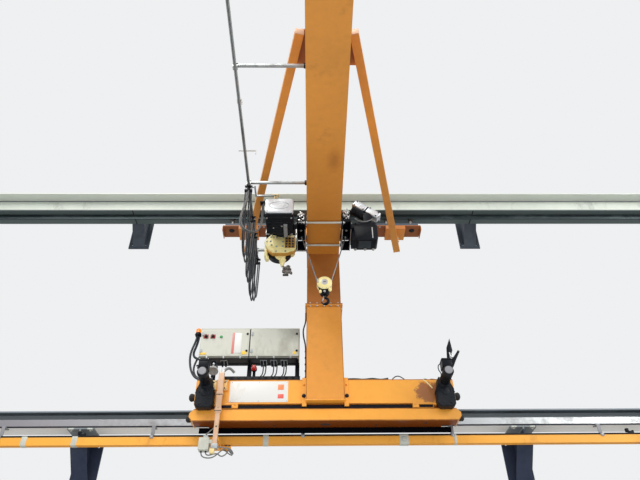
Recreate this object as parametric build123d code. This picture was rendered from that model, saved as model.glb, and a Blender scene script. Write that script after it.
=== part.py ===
from build123d import *
import os
from math import cos, pi, radians, sin, tan

# Wall travelling crane on three bays of its runway. All sizes are in millimetres.
# X runs along the wall, +Y points into the wall, +Z is up. The origin is the middle of the
# back face of the lower bracket beside the crane, so the columns' faces are the plane Y = 0.

# Runway
bay = 5000
bracket_lines = [-bay, 0, bay, 2 * bay]
beam_overhang = 150
standoff = 250
running_gap = 0.3

lower_width = 200
lower_height = 200
lower_flange = 15
lower_web = 9
guide_bar_thick = 30
guide_bar_height = 77
guide_bar_proud = 10

upper_width = 300
upper_height = 350
upper_flange = 17.5
upper_web = 10
beam_spacing = 3219
hanging_bar_thick = 20
hanging_bar_height = 80
hanging_bar_inset = 89

# Brackets that hold the runway
plate_thick = 20
plate_width = 300
lower_plate_height = 600
upper_plate_height = 650
upper_plate_drop = 285
bolt_spacing_x = 200
bolt_spacing_lower = 480
bolt_spacing_upper = 520
bolt_hole = 11
gusset_thick = 15
seat_thick = 15
haunch_thick = 12
haunch_width = 180
bracket_nose = 110
bracket_heel = 45

# Conductor line below the lower beam
conductor_width = 60
conductor_height = 97
conductor_drop = 131
conductor_reach = 500
conductor_slot = 14
conductor_slot_depth = 32
conductor_bevel = 12
hangers_per_bay = 3
hanger_width = 40
hanger_sheet = 8
hanger_foot = 40

# End stops of the runway
stop_height = 190
stop_length = 120
stop_reach = 55

# Crane frame
crane_x = 2750
carriage_half = 1490
carriage_front = 750
carriage_depth = 223
carriage_height = 131
carriage_sink = 51
carriage_chamfer = 45
roller_radius = 60
roller_height = 60
roller_x = 1370
pocket_margin = 20
pocket_lid = 8
roller_clear = 2
pin_radius = 15

crossbeam_half = 1450
crossbeam_height = 283
crossbeam_gap = 61
crossbeam_depth = 280
foot_height = 18
foot_length = 270
foot_x = 1110
foot_inset = 10

drive_x = 1330
wheel_radius = 80
wheel_width = 50
shaft_radius = 25
cheek_thick = 12
cheek_gap = 14
cheek_half = 105
cheek_clear = 20

buffer_radius = 50
buffer_length = 95
end_buffer_radius = 38
end_buffer_length = 50

post_width = 420
post_depth = 330
post_front = 800
post_rise = 85
post_joint = 1239
flange_thick = 15
flange_lip = 20
lug_width = 50
lug_thick = 15
lug_drop = 35
lug_rise = 20
lug_holes = [0.25, 0.75]

jib_width = 420
jib_height = 540
jib_flange = 20
jib_web_half = 140
jib_tip = 6000
jib_rear = 270
tip_plate = 15

neck_half = 180
neck_depth = 220
neck_height = 215
upper_plate_half = 1430
upper_plate_depth = 248
upper_plate_reach = 101
upper_plate_thick = 15
upper_plate_gap = 257
channel_height = 60
channel_inset = 27
upper_roller_x = [1312, 955]
upper_roller_radius = 45
upper_roller_height = 60
upper_roller_drop = 10
stool_radius = 30

brace_size = 90
brace_tip_x = 271
brace_tip_y = 3735
brace_end_x = 1078
brace_end_y = 280
cross_plate_length = 410
cross_plate_thick = 12
brace_step_half = 140
brace_step_height = 60
brace_tie_gap = 30
brace_tie_length = 110
brace_tie_inset = 15
brace_tie_thick = 12

# Travel drives on the ends of the crossbeam
gearbox_width = 205
gearbox_depth = 100
gearbox_low = 365
gearbox_height = 340
gearbox_cap_radius = 52
gearbox_cap_drop = 50
motor_radius = 60
motor_length = 300
motor_rise = 65
terminal_width = 108
terminal_depth = 130
terminal_height = 95

# Electrical parts
cabinet_width = 590
cabinet_height = 378
cabinet_depth = 210
cabinet_left = 1480
cabinet_front = 740
cabinet_lift = 306
cabinet_joint = 2
support_size = 50
support_rail = 12
tray_left = 1146
tray_right = 285
tray_height = 50
tray_width = 150
tray_sheet = 3
sign_left = 1071
sign_right = 417
sign_height = 250
sign_thick = 4
sign_lift = 18
beacon_radius = 38
beacon_height = 95
beacon_out = 45
beacon_inset = 60
beacon_drop = 60
dome_radius = 34
dome_length = 95
dome_rise = 168
dome_x = 820
horn_x = 1278
horn_rise = 190
horn_radius = 62
horn_length = 110
horn_driver_radius = 40
horn_bell_height = 85
arm_x = 1165
arm_bracket_left = 57
arm_bracket_right = 75
arm_bracket_drop = 130
arm_holes = [260, 420, 610]
arm_hole_radius = 9
arm_width = 60
arm_thick = 40
arm_front = 850
arm_top = 772
arm_bottom = -88
box_width = 105
box_height = 140
box_depth = 90
box_gap = 30
box_drop = 10
collector_length = 260
collector_height = 45
collector_width = 50
collector_gap = 12
blade_thick = 8
blade_depth = 18
switch_x = 1400
switch_post = 20
switch_head = 40
switch_rise = 190
switch_blade_width = 45
switch_blade_length = 230
switch_blade_thick = 8

# Festoon beside the jib
track_x = 905
track_size = 30
track_rise = 183
track_near = 420
arm_size = 30
arm_root = 600
arm_first = 1900
arm_pitch = 1625
arm_count = 3
clamp_y = 450
lead_y = 1880
festoon_ratios = [1 / 3, 2 / 3]
carrier_length = 44
carrier_width = 92
carrier_height = 60
carrier_plate = 20
saddle_radius = 20
tow_size = 20
tow_gap = 19
tow_y = 1730
cable_radius = 6
cable_offset = 7
cable_spread = 15
loop_drops = [740, 790, 795]

# Half of a hanging loop, from its end to its bottom, as shares of its width and of its drop
loop_route = [(0.0, 0.0), (0.005, 0.1), (0.019, 0.24), (0.05, 0.42), (0.093, 0.6),
              (0.144, 0.75), (0.209, 0.88), (0.36, 1.0)]

# The cable from the lead carrier to the hoist, from the middle of the carrier's saddle
hoist_cable_route = [
    (-8, -6, 0), (-9, -8, -80), (-22, -13, -180), (-42, -19, -290), (-60, -25, -400),
    (-63, -30, -505), (-36, -34, -594), (20, -35, -648), (84, -24, -660), (132, 8, -615),
    (156, 50, -530), (165, 94, -430), (165, 138, -330), (161, 178, -230), (157, 208, -135),
    (156, 220, -62), (156, 220, 0),
]
hoist_cable_step = 16
gland_size = 60
gland_height = 34

# Trolley and hoist
trolley_y = 1240
trolley_half = 240
side_thick = 12
side_gap = 12
side_low = 127
side_high = 150
trolley_wheel_radius = 55
trolley_wheel_width = 50
trolley_wheel_y = 170
axle_radius = 12
rod_radius = 13
rod_drop = 25
rod_inset = 20
hoist_arm_drop = 60
hoist_arm_height = 40
hoist_arm_width = 60
anchor_reach = 72
anchor_half = 30
anchor_height = 40
trolley_range = 3600
trolley_stop_gap = 10
trolley_stop_length = 40
panel_left = 712
panel_width = 344
panel_height = 250
panel_depth = 60
panel_rise = 115
panel_front = 1750
housing_depth = 330
housing_inset = 6
gear_left = 750
gear_width = 400
gear_height = 512
gear_rise = 193
gear_front = 1150
gear_depth = 150
drum_radius = 95
drum_x = 540
drum_rise = 95
ballast_left = 372
ballast_width = 293
ballast_height = 225
ballast_drop = 27
ballast_front = 1400
ballast_depth = 200
travel_motor_radius = 55
travel_motor_length = 370
travel_motor_tilt = 41
travel_motor_x = 550
travel_motor_rise = 248

# Hook block
rope_radius = 6
rope_y = 1200
rope_drop = 56
rope_pair = 16
rope_top_x = 275
rope_bottom_x = 70
sheave_radius = 90
block_depth = 110
block_drop = 774
cheek_drop = 158
cheek_top = 70
cheek_low = 45
hook_radius = 42
hook_wire = 17
shank_length = 35
hook_sweep = 250


def block(x0, x1, y0, y1, z0, z1):
    """A box between two corners."""
    low = (min(x0, x1), min(y0, y1), min(z0, z1))
    size = (abs(x1 - x0), abs(y1 - y0), abs(z1 - z0))
    middle = [a + s / 2 for a, s in zip(low, size)]
    return Pos(*middle) * Box(*size)


def rod(start, end, radius):
    """A round bar between two points."""
    way = Vector(*end) - Vector(*start)
    return extrude(Plane(origin=start, z_dir=way) * Circle(radius), way.length)


def side_profile(points, x0, x1):
    """A plate with an outline of (y, z) points, between two x places."""
    wire = Polyline(*[(min(x0, x1), y, z) for y, z in points], close=True)
    return extrude(make_face(wire), amount=abs(x1 - x0), dir=(1, 0, 0))


def front_profile(points, y0, y1):
    """A plate with an outline of (x, z) points, between two y places."""
    wire = Polyline(*[(x, min(y0, y1), z) for x, z in points], close=True)
    return extrude(make_face(wire), amount=abs(y1 - y0), dir=(0, 1, 0))


def tube(points, radius):
    """A cable along straight runs that are joined by arcs as large as the runs allow."""
    places = [Vector(*p) for p in points]
    radii = []
    for a, b, c in zip(places, places[1:], places[2:]):
        turn = radians((b - a).get_angle(c - b))
        radii.append(0.45 * min((b - a).length, (c - b).length) / tan(turn / 2))
    path = FilletPolyline(*places, radius=radii)
    start = Plane(origin=path @ 0, z_dir=path % 0)
    solid = sweep(start * Circle(radius), path=path)
    spare = solid.volume / (pi * radius**2 * path.length) - 1
    print(f"cable {path.length:.0f} mm, smallest arc {min(radii):.0f} mm, volume off by {spare:.4f}")
    return solid


def write(name, *shapes):
    """Writes the solids of one sub-part."""
    solids = [s for shape in shapes for s in shape.solids()]
    export_step(solids[0] if len(solids) == 1 else Compound(solids), f"parts/{name}.step")


# Places that follow from the sizes above
beam_start = bracket_lines[0] - beam_overhang
beam_end = bracket_lines[-1] + beam_overhang
lower_under = lower_plate_height / 2
lower_back = -standoff
lower_front = lower_back - lower_width
lower_top = lower_under + lower_height
upper_under = lower_under + beam_spacing
upper_back = -standoff
upper_front = upper_back - upper_width
upper_top = upper_under + upper_height
guide_front = lower_front - guide_bar_proud
hanging_front = upper_front + hanging_bar_inset
hanging_back = hanging_front + hanging_bar_thick

carriage_under = lower_under - carriage_sink
carriage_top = carriage_under + carriage_height
carriage_back = -carriage_front + carriage_depth
crossbeam_under = carriage_top + crossbeam_gap
crossbeam_top = crossbeam_under + crossbeam_height
crossbeam_back = -carriage_front + crossbeam_depth
post_under = carriage_top + post_rise
post_back = -post_front + post_depth
post_split = post_under + post_joint
upper_plate_under = upper_under - upper_plate_gap
upper_plate_top = upper_plate_under + upper_plate_thick
jib_top = upper_plate_under - neck_height
jib_bottom = jib_top - jib_height
flange_top = jib_bottom + jib_flange
roller_y = guide_front - running_gap - roller_radius
upper_roller_y = hanging_back + running_gap + upper_roller_radius
upper_plate_front = upper_roller_y - upper_plate_reach
upper_plate_back = upper_plate_front + upper_plate_depth
wheel_y = lower_back - lower_width / 2
wheel_z = lower_top + running_gap + wheel_radius
cabinet_under = crossbeam_top + cabinet_lift
track_z = jib_bottom + track_rise
conductor_top = lower_under - conductor_drop
conductor_under = conductor_top - conductor_height
side_inner = jib_width / 2 + side_gap
side_outer = side_inner + side_thick
rope_top_z = jib_bottom - rope_drop
block_z = jib_bottom - block_drop


def i_beam(x0, x1, front, under, width, height, flange, web):
    """A rolled beam along X, with its web in the middle of its flanges."""
    middle = front + width / 2
    low = block(x0, x1, front, front + width, under, under + flange)
    high = block(x0, x1, front, front + width, under + height - flange, under + height)
    wall = block(x0, x1, middle - web / 2, middle + web / 2, under, under + height)
    return low + high + wall


def runway_beams():
    """Both beams, with the bars that the guide rollers run on."""
    write("lower_runway_beam",
          i_beam(beam_start, beam_end, lower_front, lower_under, lower_width, lower_height,
                 lower_flange, lower_web))
    write("upper_runway_beam",
          i_beam(beam_start, beam_end, upper_front, upper_under, upper_width, upper_height,
                 upper_flange, upper_web))
    shelf = lower_under + lower_flange
    standing = block(beam_start, beam_end, guide_front, guide_front + guide_bar_thick,
                     shelf, shelf + guide_bar_height)
    hanging = block(beam_start, beam_end, hanging_front, hanging_back,
                    upper_under - hanging_bar_height, upper_under)
    write("guide_bars", standing, hanging)


def drilled_plate(x, bottom, height, spacing):
    """A bracket's back plate with its four bolt holes."""
    plate = block(x - plate_width / 2, x + plate_width / 2, -plate_thick, 0, bottom, bottom + height)
    for dx in (-bolt_spacing_x / 2, bolt_spacing_x / 2):
        for dz in (-spacing / 2, spacing / 2):
            z = bottom + height / 2 + dz
            plate -= rod((x + dx, -2 * plate_thick, z), (x + dx, plate_thick, z), bolt_hole)
    return plate


def lower_bracket(x):
    """A haunched bracket that the lower beam stands on."""
    back = drilled_plate(x, -lower_under, lower_plate_height, bolt_spacing_lower)
    seat = block(x - plate_width / 2, x + plate_width / 2, lower_front, -plate_thick,
                 lower_under - seat_thick, lower_under)
    nose = lower_under - bracket_nose
    heel = bracket_heel - lower_under
    outline = [(-plate_thick, lower_under - seat_thick), (lower_front, lower_under - seat_thick),
               (lower_front, nose), (-plate_thick, heel)]
    gusset = side_profile(outline, x - gusset_thick / 2, x + gusset_thick / 2)
    slope = [(lower_front, nose), (-plate_thick, heel),
             (-plate_thick, heel - haunch_thick), (lower_front, nose - haunch_thick)]
    haunch = side_profile(slope, x - haunch_width / 2, x + haunch_width / 2)
    return back + seat + gusset + haunch


def upper_bracket(x):
    """A haunched bracket that the upper beam is welded to, clear of the crane's rollers."""
    bottom = upper_under - upper_plate_drop
    back = drilled_plate(x, bottom, upper_plate_height, bolt_spacing_upper)
    heel = bottom + bracket_heel
    nose = upper_under + upper_flange
    outline = [(-plate_thick, upper_top), (upper_back, upper_top), (upper_back, nose),
               (-plate_thick, heel)]
    half = haunch_width / 2
    shell = side_profile(outline, x - half, x - half + gusset_thick)
    shell += side_profile(outline, x + half - gusset_thick, x + half)
    slope = [(upper_back, nose), (-plate_thick, heel),
             (-plate_thick, heel - haunch_thick), (upper_back, nose - haunch_thick)]
    shell += side_profile(slope, x - half, x + half)
    shell += block(x - half, x + half, upper_back, -plate_thick, upper_top - seat_thick, upper_top)
    return back + shell


def brackets():
    write("lower_brackets", *[lower_bracket(x) for x in bracket_lines])
    write("upper_brackets", *[upper_bracket(x) for x in bracket_lines])


def conductor():
    """The enclosed conductor rail and the straps that hang it from the lower beam."""
    front = -conductor_reach - conductor_width / 2
    back = front + conductor_width
    bevel_z = conductor_top - conductor_bevel
    outline = [(front, conductor_under), (front, bevel_z), (front + conductor_bevel, conductor_top),
               (back - conductor_bevel, conductor_top), (back, bevel_z), (back, conductor_under)]
    rail = side_profile(outline, beam_start, beam_end)
    slot = block(beam_start, beam_end, -conductor_reach - conductor_slot / 2,
                 -conductor_reach + conductor_slot / 2, conductor_under,
                 conductor_under + conductor_slot_depth)
    write("conductor_line", rail - slot)
    straps = []
    leg_front = -conductor_reach - hanger_sheet / 2
    for line in bracket_lines[:-1]:
        for i in range(hangers_per_bay):
            x = line + bay * (i + 0.5) / hangers_per_bay
            x0, x1 = x - hanger_width / 2, x + hanger_width / 2
            strap = block(x0, x1, front - hanger_sheet, back + hanger_sheet,
                          conductor_top, conductor_top + hanger_sheet)
            for y in (front - hanger_sheet, back):
                strap += block(x0, x1, y, y + hanger_sheet, bevel_z - hanger_sheet, conductor_top)
            strap += block(x0, x1, leg_front, leg_front + hanger_sheet, conductor_top, lower_under)
            strap += block(x0, x1, leg_front, lower_front + hanger_foot,
                           lower_under - hanger_sheet, lower_under)
            straps.append(strap)
    write("conductor_hangers", *straps)


def end_stops():
    """Plates across the ends of the lower beam that reach out to the crossbeam's buffers."""
    stops = []
    reach = -carriage_front + crossbeam_depth / 2 - stop_reach
    for end, inward in ((beam_start, 1), (beam_end, -1)):
        face = end + inward * stop_length
        stop = block(end, face, lower_front, lower_back, lower_top, lower_top + flange_thick)
        stop += block(face - inward * flange_thick, face, reach, lower_back,
                      lower_top, lower_top + stop_height)
        outline = [(end, lower_top), (face, lower_top), (face, lower_top + stop_height)]
        stop += front_profile(outline, wheel_y - gusset_thick / 2, wheel_y + gusset_thick / 2)
        stops.append(stop)
    write("end_stops", *stops)


def lower_carriage():
    """The long box at the foot of the crane, with a pocket for a guide roller at each end."""
    cut = carriage_chamfer
    low, high = crane_x - carriage_half, crane_x + carriage_half
    outline = [(low, carriage_under + cut), (low, carriage_top - cut), (low + cut, carriage_top),
               (high - cut, carriage_top), (high, carriage_top - cut), (high, carriage_under + cut),
               (high - cut, carriage_under), (low + cut, carriage_under)]
    body = front_profile(outline, -carriage_front, carriage_back)
    reach = roller_radius + pocket_margin
    for x in (crane_x - roller_x, crane_x + roller_x):
        body -= block(x - reach, x + reach, roller_y - reach, carriage_back,
                      carriage_under, carriage_top - pocket_lid)
    write("lower_carriage", body)


def guide_rollers():
    """Rollers against the guide bars, two on the lower carriage and four on the upper one."""
    rollers = []
    lid = carriage_top - pocket_lid
    top = lid - roller_clear
    for x in (crane_x - roller_x, crane_x + roller_x):
        wheel = rod((x, roller_y, top - roller_height), (x, roller_y, top), roller_radius)
        rollers.append(wheel + rod((x, roller_y, top), (x, roller_y, lid), pin_radius))
    seat = upper_plate_top + channel_height
    top = upper_under - upper_roller_drop
    low = top - upper_roller_height
    for side in (-1, 1):
        for reach in upper_roller_x:
            x = crane_x + side * reach
            wheel = rod((x, upper_roller_y, low), (x, upper_roller_y, top), upper_roller_radius)
            stool = rod((x, upper_roller_y, seat), (x, upper_roller_y, low), stool_radius)
            rollers.append(wheel + stool)
    write("guide_rollers", *rollers)


def crossbeam():
    """The box above the lower carriage, in two halves bolted to the post, on two feet."""
    inner = post_width / 2
    halves = [block(crane_x + side * inner, crane_x + side * crossbeam_half, -carriage_front,
                    crossbeam_back, crossbeam_under, crossbeam_top) for side in (-1, 1)]
    write("crossbeam", *halves)
    fittings = []
    for side in (-1, 1):
        x = crane_x + side * foot_x
        high = block(x - foot_length / 2, x + foot_length / 2, -carriage_front, carriage_back,
                     crossbeam_under - foot_height, crossbeam_under)
        low = block(x - foot_length / 3, x + foot_length / 3, -carriage_front + foot_inset,
                    carriage_back - foot_inset, carriage_top, crossbeam_under - foot_height)
        fittings.append(high + low)
        x = crane_x + side * inner
        face = -carriage_front - lug_thick
        lug = block(x, x + side * lug_width, face, -carriage_front,
                    crossbeam_under - lug_drop, crossbeam_top + lug_rise)
        for share in lug_holes:
            z = crossbeam_under + share * crossbeam_height
            middle = x + side * lug_width / 2
            lug -= rod((middle, face - lug_thick, z), (middle, -carriage_front, z), bolt_hole)
        fittings.append(lug)
    x = crane_x - arm_x
    plate = block(x - arm_bracket_left, x + arm_bracket_right, -carriage_front - lug_thick,
                  -carriage_front, crossbeam_top - arm_bracket_drop, crossbeam_top)
    plate += block(x - arm_width / 2, x + arm_width / 2, arm_thick - arm_front,
                   -carriage_front - lug_thick, crossbeam_top - arm_bracket_drop, crossbeam_top)
    write("frame_fittings", *fittings, plate)


def load_wheels():
    """The two wheels on the lower beam, with their shafts and cheek plates."""
    wheels, housings = [], []
    near, far = wheel_y - wheel_width / 2, wheel_y + wheel_width / 2
    end = far + cheek_gap + cheek_thick
    roof = wheel_z + wheel_radius + cheek_clear
    for side in (-1, 1):
        x = crane_x + side * drive_x
        shaft = rod((x, crossbeam_back, wheel_z), (x, end, wheel_z), shaft_radius)
        wheels.append(rod((x, near, wheel_z), (x, far, wheel_z), wheel_radius) + shaft)
        shell = block(x - cheek_half, x + cheek_half, crossbeam_back, end, roof, roof + cheek_thick)
        for y in (near - cheek_gap - cheek_thick, far + cheek_gap):
            shell += block(x - cheek_half, x + cheek_half, y, y + cheek_thick,
                           lower_top + cheek_clear, roof)
        shell -= rod((x, crossbeam_back, wheel_z), (x, end, wheel_z), shaft_radius + running_gap)
        housings.append(shell)
    write("load_wheels", *wheels)
    write("wheel_housings", *housings)


def buffers():
    """Rubber buffers on the ends of the crossbeam and of the lower carriage."""
    pads = []
    for side in (-1, 1):
        for half, y, z, radius, length in (
            (crossbeam_half, -carriage_front + crossbeam_depth / 2, wheel_z,
             buffer_radius, buffer_length),
            (carriage_half, -carriage_front + carriage_depth / 2, carriage_top - carriage_height / 2,
             end_buffer_radius, end_buffer_length),
        ):
            x = crane_x + side * half
            pads.append(rod((x, y, z), (x + side * length, y, z), radius))
    write("buffers", *pads)


def post():
    """The upright in two lengths, bolted together at a flange."""
    left, right = crane_x - post_width / 2, crane_x + post_width / 2
    lip = flange_lip
    lower = block(left, right, -post_front, post_back, post_under, post_split - flange_thick)
    lower += block(left - lip, right + lip, -post_front - lip, post_back + lip,
                   post_split - flange_thick, post_split)
    upper = block(left - lip, right + lip, -post_front - lip, post_back + lip,
                  post_split, post_split + flange_thick)
    upper += block(left, right, -post_front, post_back, post_split + flange_thick, jib_bottom)
    write("post_lower", lower)
    write("post_upper", upper)


def jib():
    """The box girder, whose wide bottom flange carries the trolley between its stops."""
    wide = jib_width / 2
    body = block(crane_x - jib_web_half, crane_x + jib_web_half, -jib_tip, -jib_rear,
                 jib_bottom, jib_top)
    for z in (jib_bottom, jib_top - jib_flange):
        body += block(crane_x - wide, crane_x + wide, -jib_tip, -jib_rear, z, z + jib_flange)
    body += block(crane_x - wide, crane_x + wide, -jib_tip - tip_plate, -jib_tip, jib_bottom, jib_top)
    write("jib", body)
    wheel_end = trolley_wheel_y + trolley_wheel_radius + trolley_stop_gap
    stops = []
    for y, grow in ((wheel_end - trolley_y, 1), (-trolley_y - trolley_range - wheel_end, -1)):
        for side in (-1, 1):
            stops.append(block(crane_x + side * jib_web_half, crane_x + side * wide,
                               y, y + grow * trolley_stop_length,
                               flange_top, flange_top + 2 * trolley_wheel_radius))
    write("trolley_stops", *stops)


def upper_carriage():
    """The long plate under the upper beam, its stiffening channel and the neck below it."""
    write("upper_neck", block(crane_x - neck_half, crane_x + neck_half, -jib_rear - neck_depth,
                              -jib_rear, jib_top, upper_plate_under))
    plate = block(crane_x - upper_plate_half, crane_x + upper_plate_half, upper_plate_front,
                  upper_plate_back, upper_plate_under, upper_plate_top)
    write("upper_carriage_plate", plate)
    half = upper_plate_half - channel_inset
    write("upper_carriage_channel",
          block(crane_x - half, crane_x + half, upper_plate_front + channel_inset,
                upper_plate_back - channel_inset, upper_plate_top, upper_plate_top + channel_height))


def braces():
    """The two stays in plan, their plate across the jib and their ties to the upper carriage."""
    stays, ties = [], []
    middle = jib_top - brace_size / 2
    for side in (-1, 1):
        tip = Vector(crane_x + side * brace_tip_x, -brace_tip_y, middle)
        end = Vector(crane_x + side * brace_end_x, -brace_end_y, middle)
        plane = Plane(origin=tip, x_dir=(0, 0, 1), z_dir=end - tip)
        stays.append(extrude(plane * Rectangle(brace_size, brace_size), (end - tip).length))
        x = crane_x + side * (brace_end_x - brace_tie_inset)
        step = upper_plate_under - brace_step_height
        tie = block(x - brace_step_half, x + brace_step_half, upper_plate_front, upper_plate_back,
                    step, upper_plate_under)
        foot = -brace_end_y - brace_tie_length - brace_tie_inset
        for dx in (-brace_tie_gap, brace_tie_gap):
            tie += block(x + dx - brace_tie_thick / 2, x + dx + brace_tie_thick / 2,
                         foot, foot + brace_tie_length, jib_top, step)
        ties.append(tie)
    write("braces", *stays)
    reach = brace_tip_x + brace_size / 2
    cross = block(crane_x - reach, crane_x + reach, -brace_tip_y, cross_plate_length - brace_tip_y,
                  jib_top, jib_top + cross_plate_thick)
    write("brace_ties", *ties, cross)


def drives():
    """A gearbox on each end of the crossbeam, with its motor lying towards the jib's tip."""
    gearboxes, motors = [], []
    face = -carriage_front - gearbox_depth
    half = gearbox_width / 2
    top = gearbox_low + gearbox_height
    cut = half / 3
    for side in (-1, 1):
        x = crane_x + side * drive_x
        outline = [(x - half + cut, gearbox_low), (x + half - cut, gearbox_low),
                   (x + half, gearbox_low + cut), (x + half, top - cut), (x + half - cut, top),
                   (x - half + cut, top), (x - half, top - cut), (x - half, gearbox_low + cut)]
        case = front_profile(outline, face, -carriage_front)
        z = wheel_z - gearbox_cap_drop
        case += rod((x, face - lug_thick, z), (x, face, z), gearbox_cap_radius)
        gearboxes.append(case)
        z = wheel_z + motor_rise
        end = face - motor_length
        motor = rod((x, end, z), (x, face, z), motor_radius)
        head = end + 2 * lug_thick
        motor += block(x - terminal_width / 2, x + terminal_width / 2, head, head + terminal_depth,
                       z, z + motor_radius + terminal_height)
        motors.append(motor)
    write("drive_gearboxes", *gearboxes)
    write("drive_motors", *motors)


def cabinets():
    """Two control cabinets over the left half of the crossbeam, their frame and a cable tray."""
    back = cabinet_depth - cabinet_front
    left = crane_x - cabinet_left
    boxes = []
    for i in range(2):
        x0 = left + i * (cabinet_width + cabinet_joint)
        boxes.append(block(x0, x0 + cabinet_width, -cabinet_front, back,
                           cabinet_under, cabinet_under + cabinet_height))
    write("cabinets", *boxes)
    right = left + 2 * cabinet_width + cabinet_joint
    rail_z = cabinet_under - support_rail
    frame = block(left, right, back - support_size, back, rail_z, cabinet_under)
    for x in (left, (left + right - support_size) / 2, right - support_size):
        x = max(x, crane_x - crossbeam_half)
        frame += block(x, x + support_size, back - support_size, back, crossbeam_top, rail_z)
    x0, x1 = crane_x - tray_left, crane_x - tray_right
    y0 = -carriage_front
    tray = block(x0, x1, y0, y0 + tray_width, crossbeam_top, crossbeam_top + tray_sheet)
    for y in (y0, y0 + tray_width - tray_sheet):
        tray += block(x0, x1, y, y + tray_sheet, crossbeam_top, crossbeam_top + tray_height)
    write("cabinet_frame", frame, tray)
    low = crossbeam_under + sign_lift
    write("sign_board", block(crane_x - sign_left, crane_x - sign_right,
                              -carriage_front - sign_thick, -carriage_front, low, low + sign_height))


def signals():
    """A beacon beside the cabinets, a dome lamp under them, and a horn with its driver."""
    side = crane_x - cabinet_left
    x = side - beacon_out
    y = beacon_inset - cabinet_front
    z = cabinet_under + cabinet_height - beacon_drop
    beacon = block(x - beacon_radius, side, y - beacon_radius, y + beacon_radius, z - tray_sheet, z)
    beacon += rod((x, y, z), (x, y, z + beacon_height), beacon_radius)
    x = crane_x - dome_x
    y = tray_width / 2 - carriage_front
    z = crossbeam_top + dome_rise
    lamp = block(x - dome_radius / 2, x + dome_radius / 2, y, y + 2 * tray_sheet,
                 crossbeam_top + tray_sheet, z)
    lamp += rod((x, y, z), (x, y - dome_length, z), dome_radius)
    x = crane_x - horn_x
    y = horn_radius - carriage_front
    z = crossbeam_top + horn_rise
    horn = rod((x, y - horn_length, z), (x, y, z), horn_driver_radius)
    mouth = z - horn_driver_radius / 2 - horn_bell_height
    bell_y = y - horn_radius + tray_sheet
    horn += rod((x, bell_y, mouth), (x, bell_y, mouth + horn_bell_height), horn_radius)
    horn += block(x - dome_radius / 2, x + dome_radius / 2, y - 2 * tray_sheet, y, crossbeam_top, z)
    write("signals", beacon, lamp, horn)


def lever_switch():
    """A limit switch with two crossed blades, on a stand behind the right drive."""
    x = crane_x + switch_x
    y = -carriage_front + switch_head
    z = crossbeam_top + switch_rise
    switch = block(x - switch_post, x + switch_post, y - switch_post, y + switch_post,
                   crossbeam_top, z)
    switch += block(x - switch_head, x + switch_head, y - switch_head, y + switch_head,
                    z, z + 2 * switch_head)
    top = z + 2 * switch_head
    wide = switch_blade_width
    tall = switch_blade_length
    front = y - switch_head
    upright = [(x + 0.6 * wide, top - wide), (x + 2 * wide, top + 0.2 * tall),
               (x + 2.5 * wide, top + 0.45 * tall), (x + 2.2 * wide, top + 1.15 * tall),
               (x + wide, top + 0.6 * tall)]
    switch += front_profile(upright, front, front + switch_blade_thick)
    slanted = [(x + 0.6 * wide, top - wide), (x + 2 * wide, top - 0.5 * tall),
               (x + 4.4 * wide, top + 0.4 * tall), (x + 3.9 * wide, top + 0.46 * tall)]
    switch += front_profile(slanted, front, front + switch_blade_thick)
    write("lever_switch", switch)


def collector():
    """The perforated arm that reaches down to the conductor line, its shoe and its box."""
    x = crane_x - arm_x
    left, right = x - arm_width / 2, x + arm_width / 2
    front = -arm_front
    back = front + arm_thick
    arm = block(left, right, front, back, arm_bottom, arm_top)
    for drop in arm_holes:
        z = arm_top - drop
        arm -= rod((x, front - arm_thick, z), (x, back + arm_thick, z), arm_hole_radius)
    write("collector_arm", arm)
    top = conductor_under - collector_gap
    low = top - collector_height
    shoe = block(x - collector_length / 2, x + collector_length / 2,
                 -conductor_reach - collector_width / 2, -conductor_reach + collector_width / 2,
                 low, top)
    shoe += block(x - arm_width, x + arm_width, -conductor_reach - blade_thick / 2,
                  -conductor_reach + blade_thick / 2, top, conductor_under + blade_depth)
    shoe += block(x - tow_size, x + tow_size, back, -conductor_reach, low, low + tow_size)
    write("collector", shoe)
    edge = left - box_gap
    z0 = arm_bottom - box_drop
    case = block(edge - box_width, edge, front, front + box_depth, z0, z0 + box_height)
    case += block(edge, left, front + arm_thick / 4, back - arm_thick / 4,
                  z0 + box_height / 2, z0 + box_height / 2 + arm_thick)
    write("junction_box", case)


def carrier(y):
    """One cable carrier under the track, with its round saddle at the bottom."""
    x = crane_x - track_x
    half = carrier_width / 2
    top = track_z - running_gap
    saddle_z = top - carrier_height - saddle_radius / 2
    piece = block(x - half, x + half, y - carrier_length / 2, y + carrier_length / 2,
                  top - carrier_plate, top)
    piece += block(x - saddle_radius / 2, x + saddle_radius / 2, y - saddle_radius / 2,
                   y + saddle_radius / 2, saddle_z, top - carrier_plate)
    piece += rod((x - half, y, saddle_z), (x + half, y, saddle_z), saddle_radius)
    return piece


def smooth_place(share):
    """The part of the way from clamp to lead carrier where a smooth step reaches this share."""
    low, high = 0.0, 1.0
    while high - low > 1e-9:
        middle = (low + high) / 2
        if middle * middle * (3 - 2 * middle) < share:
            low = middle
        else:
            high = middle
    return (low + high) / 2


carrier_shares = [0] + [smooth_place(share) for share in festoon_ratios] + [1]
carrier_places = [-clamp_y - share * (lead_y - clamp_y) for share in carrier_shares]
carrier_top = track_z - running_gap
saddle_under = carrier_top - carrier_height - 1.5 * saddle_radius - running_gap


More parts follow.
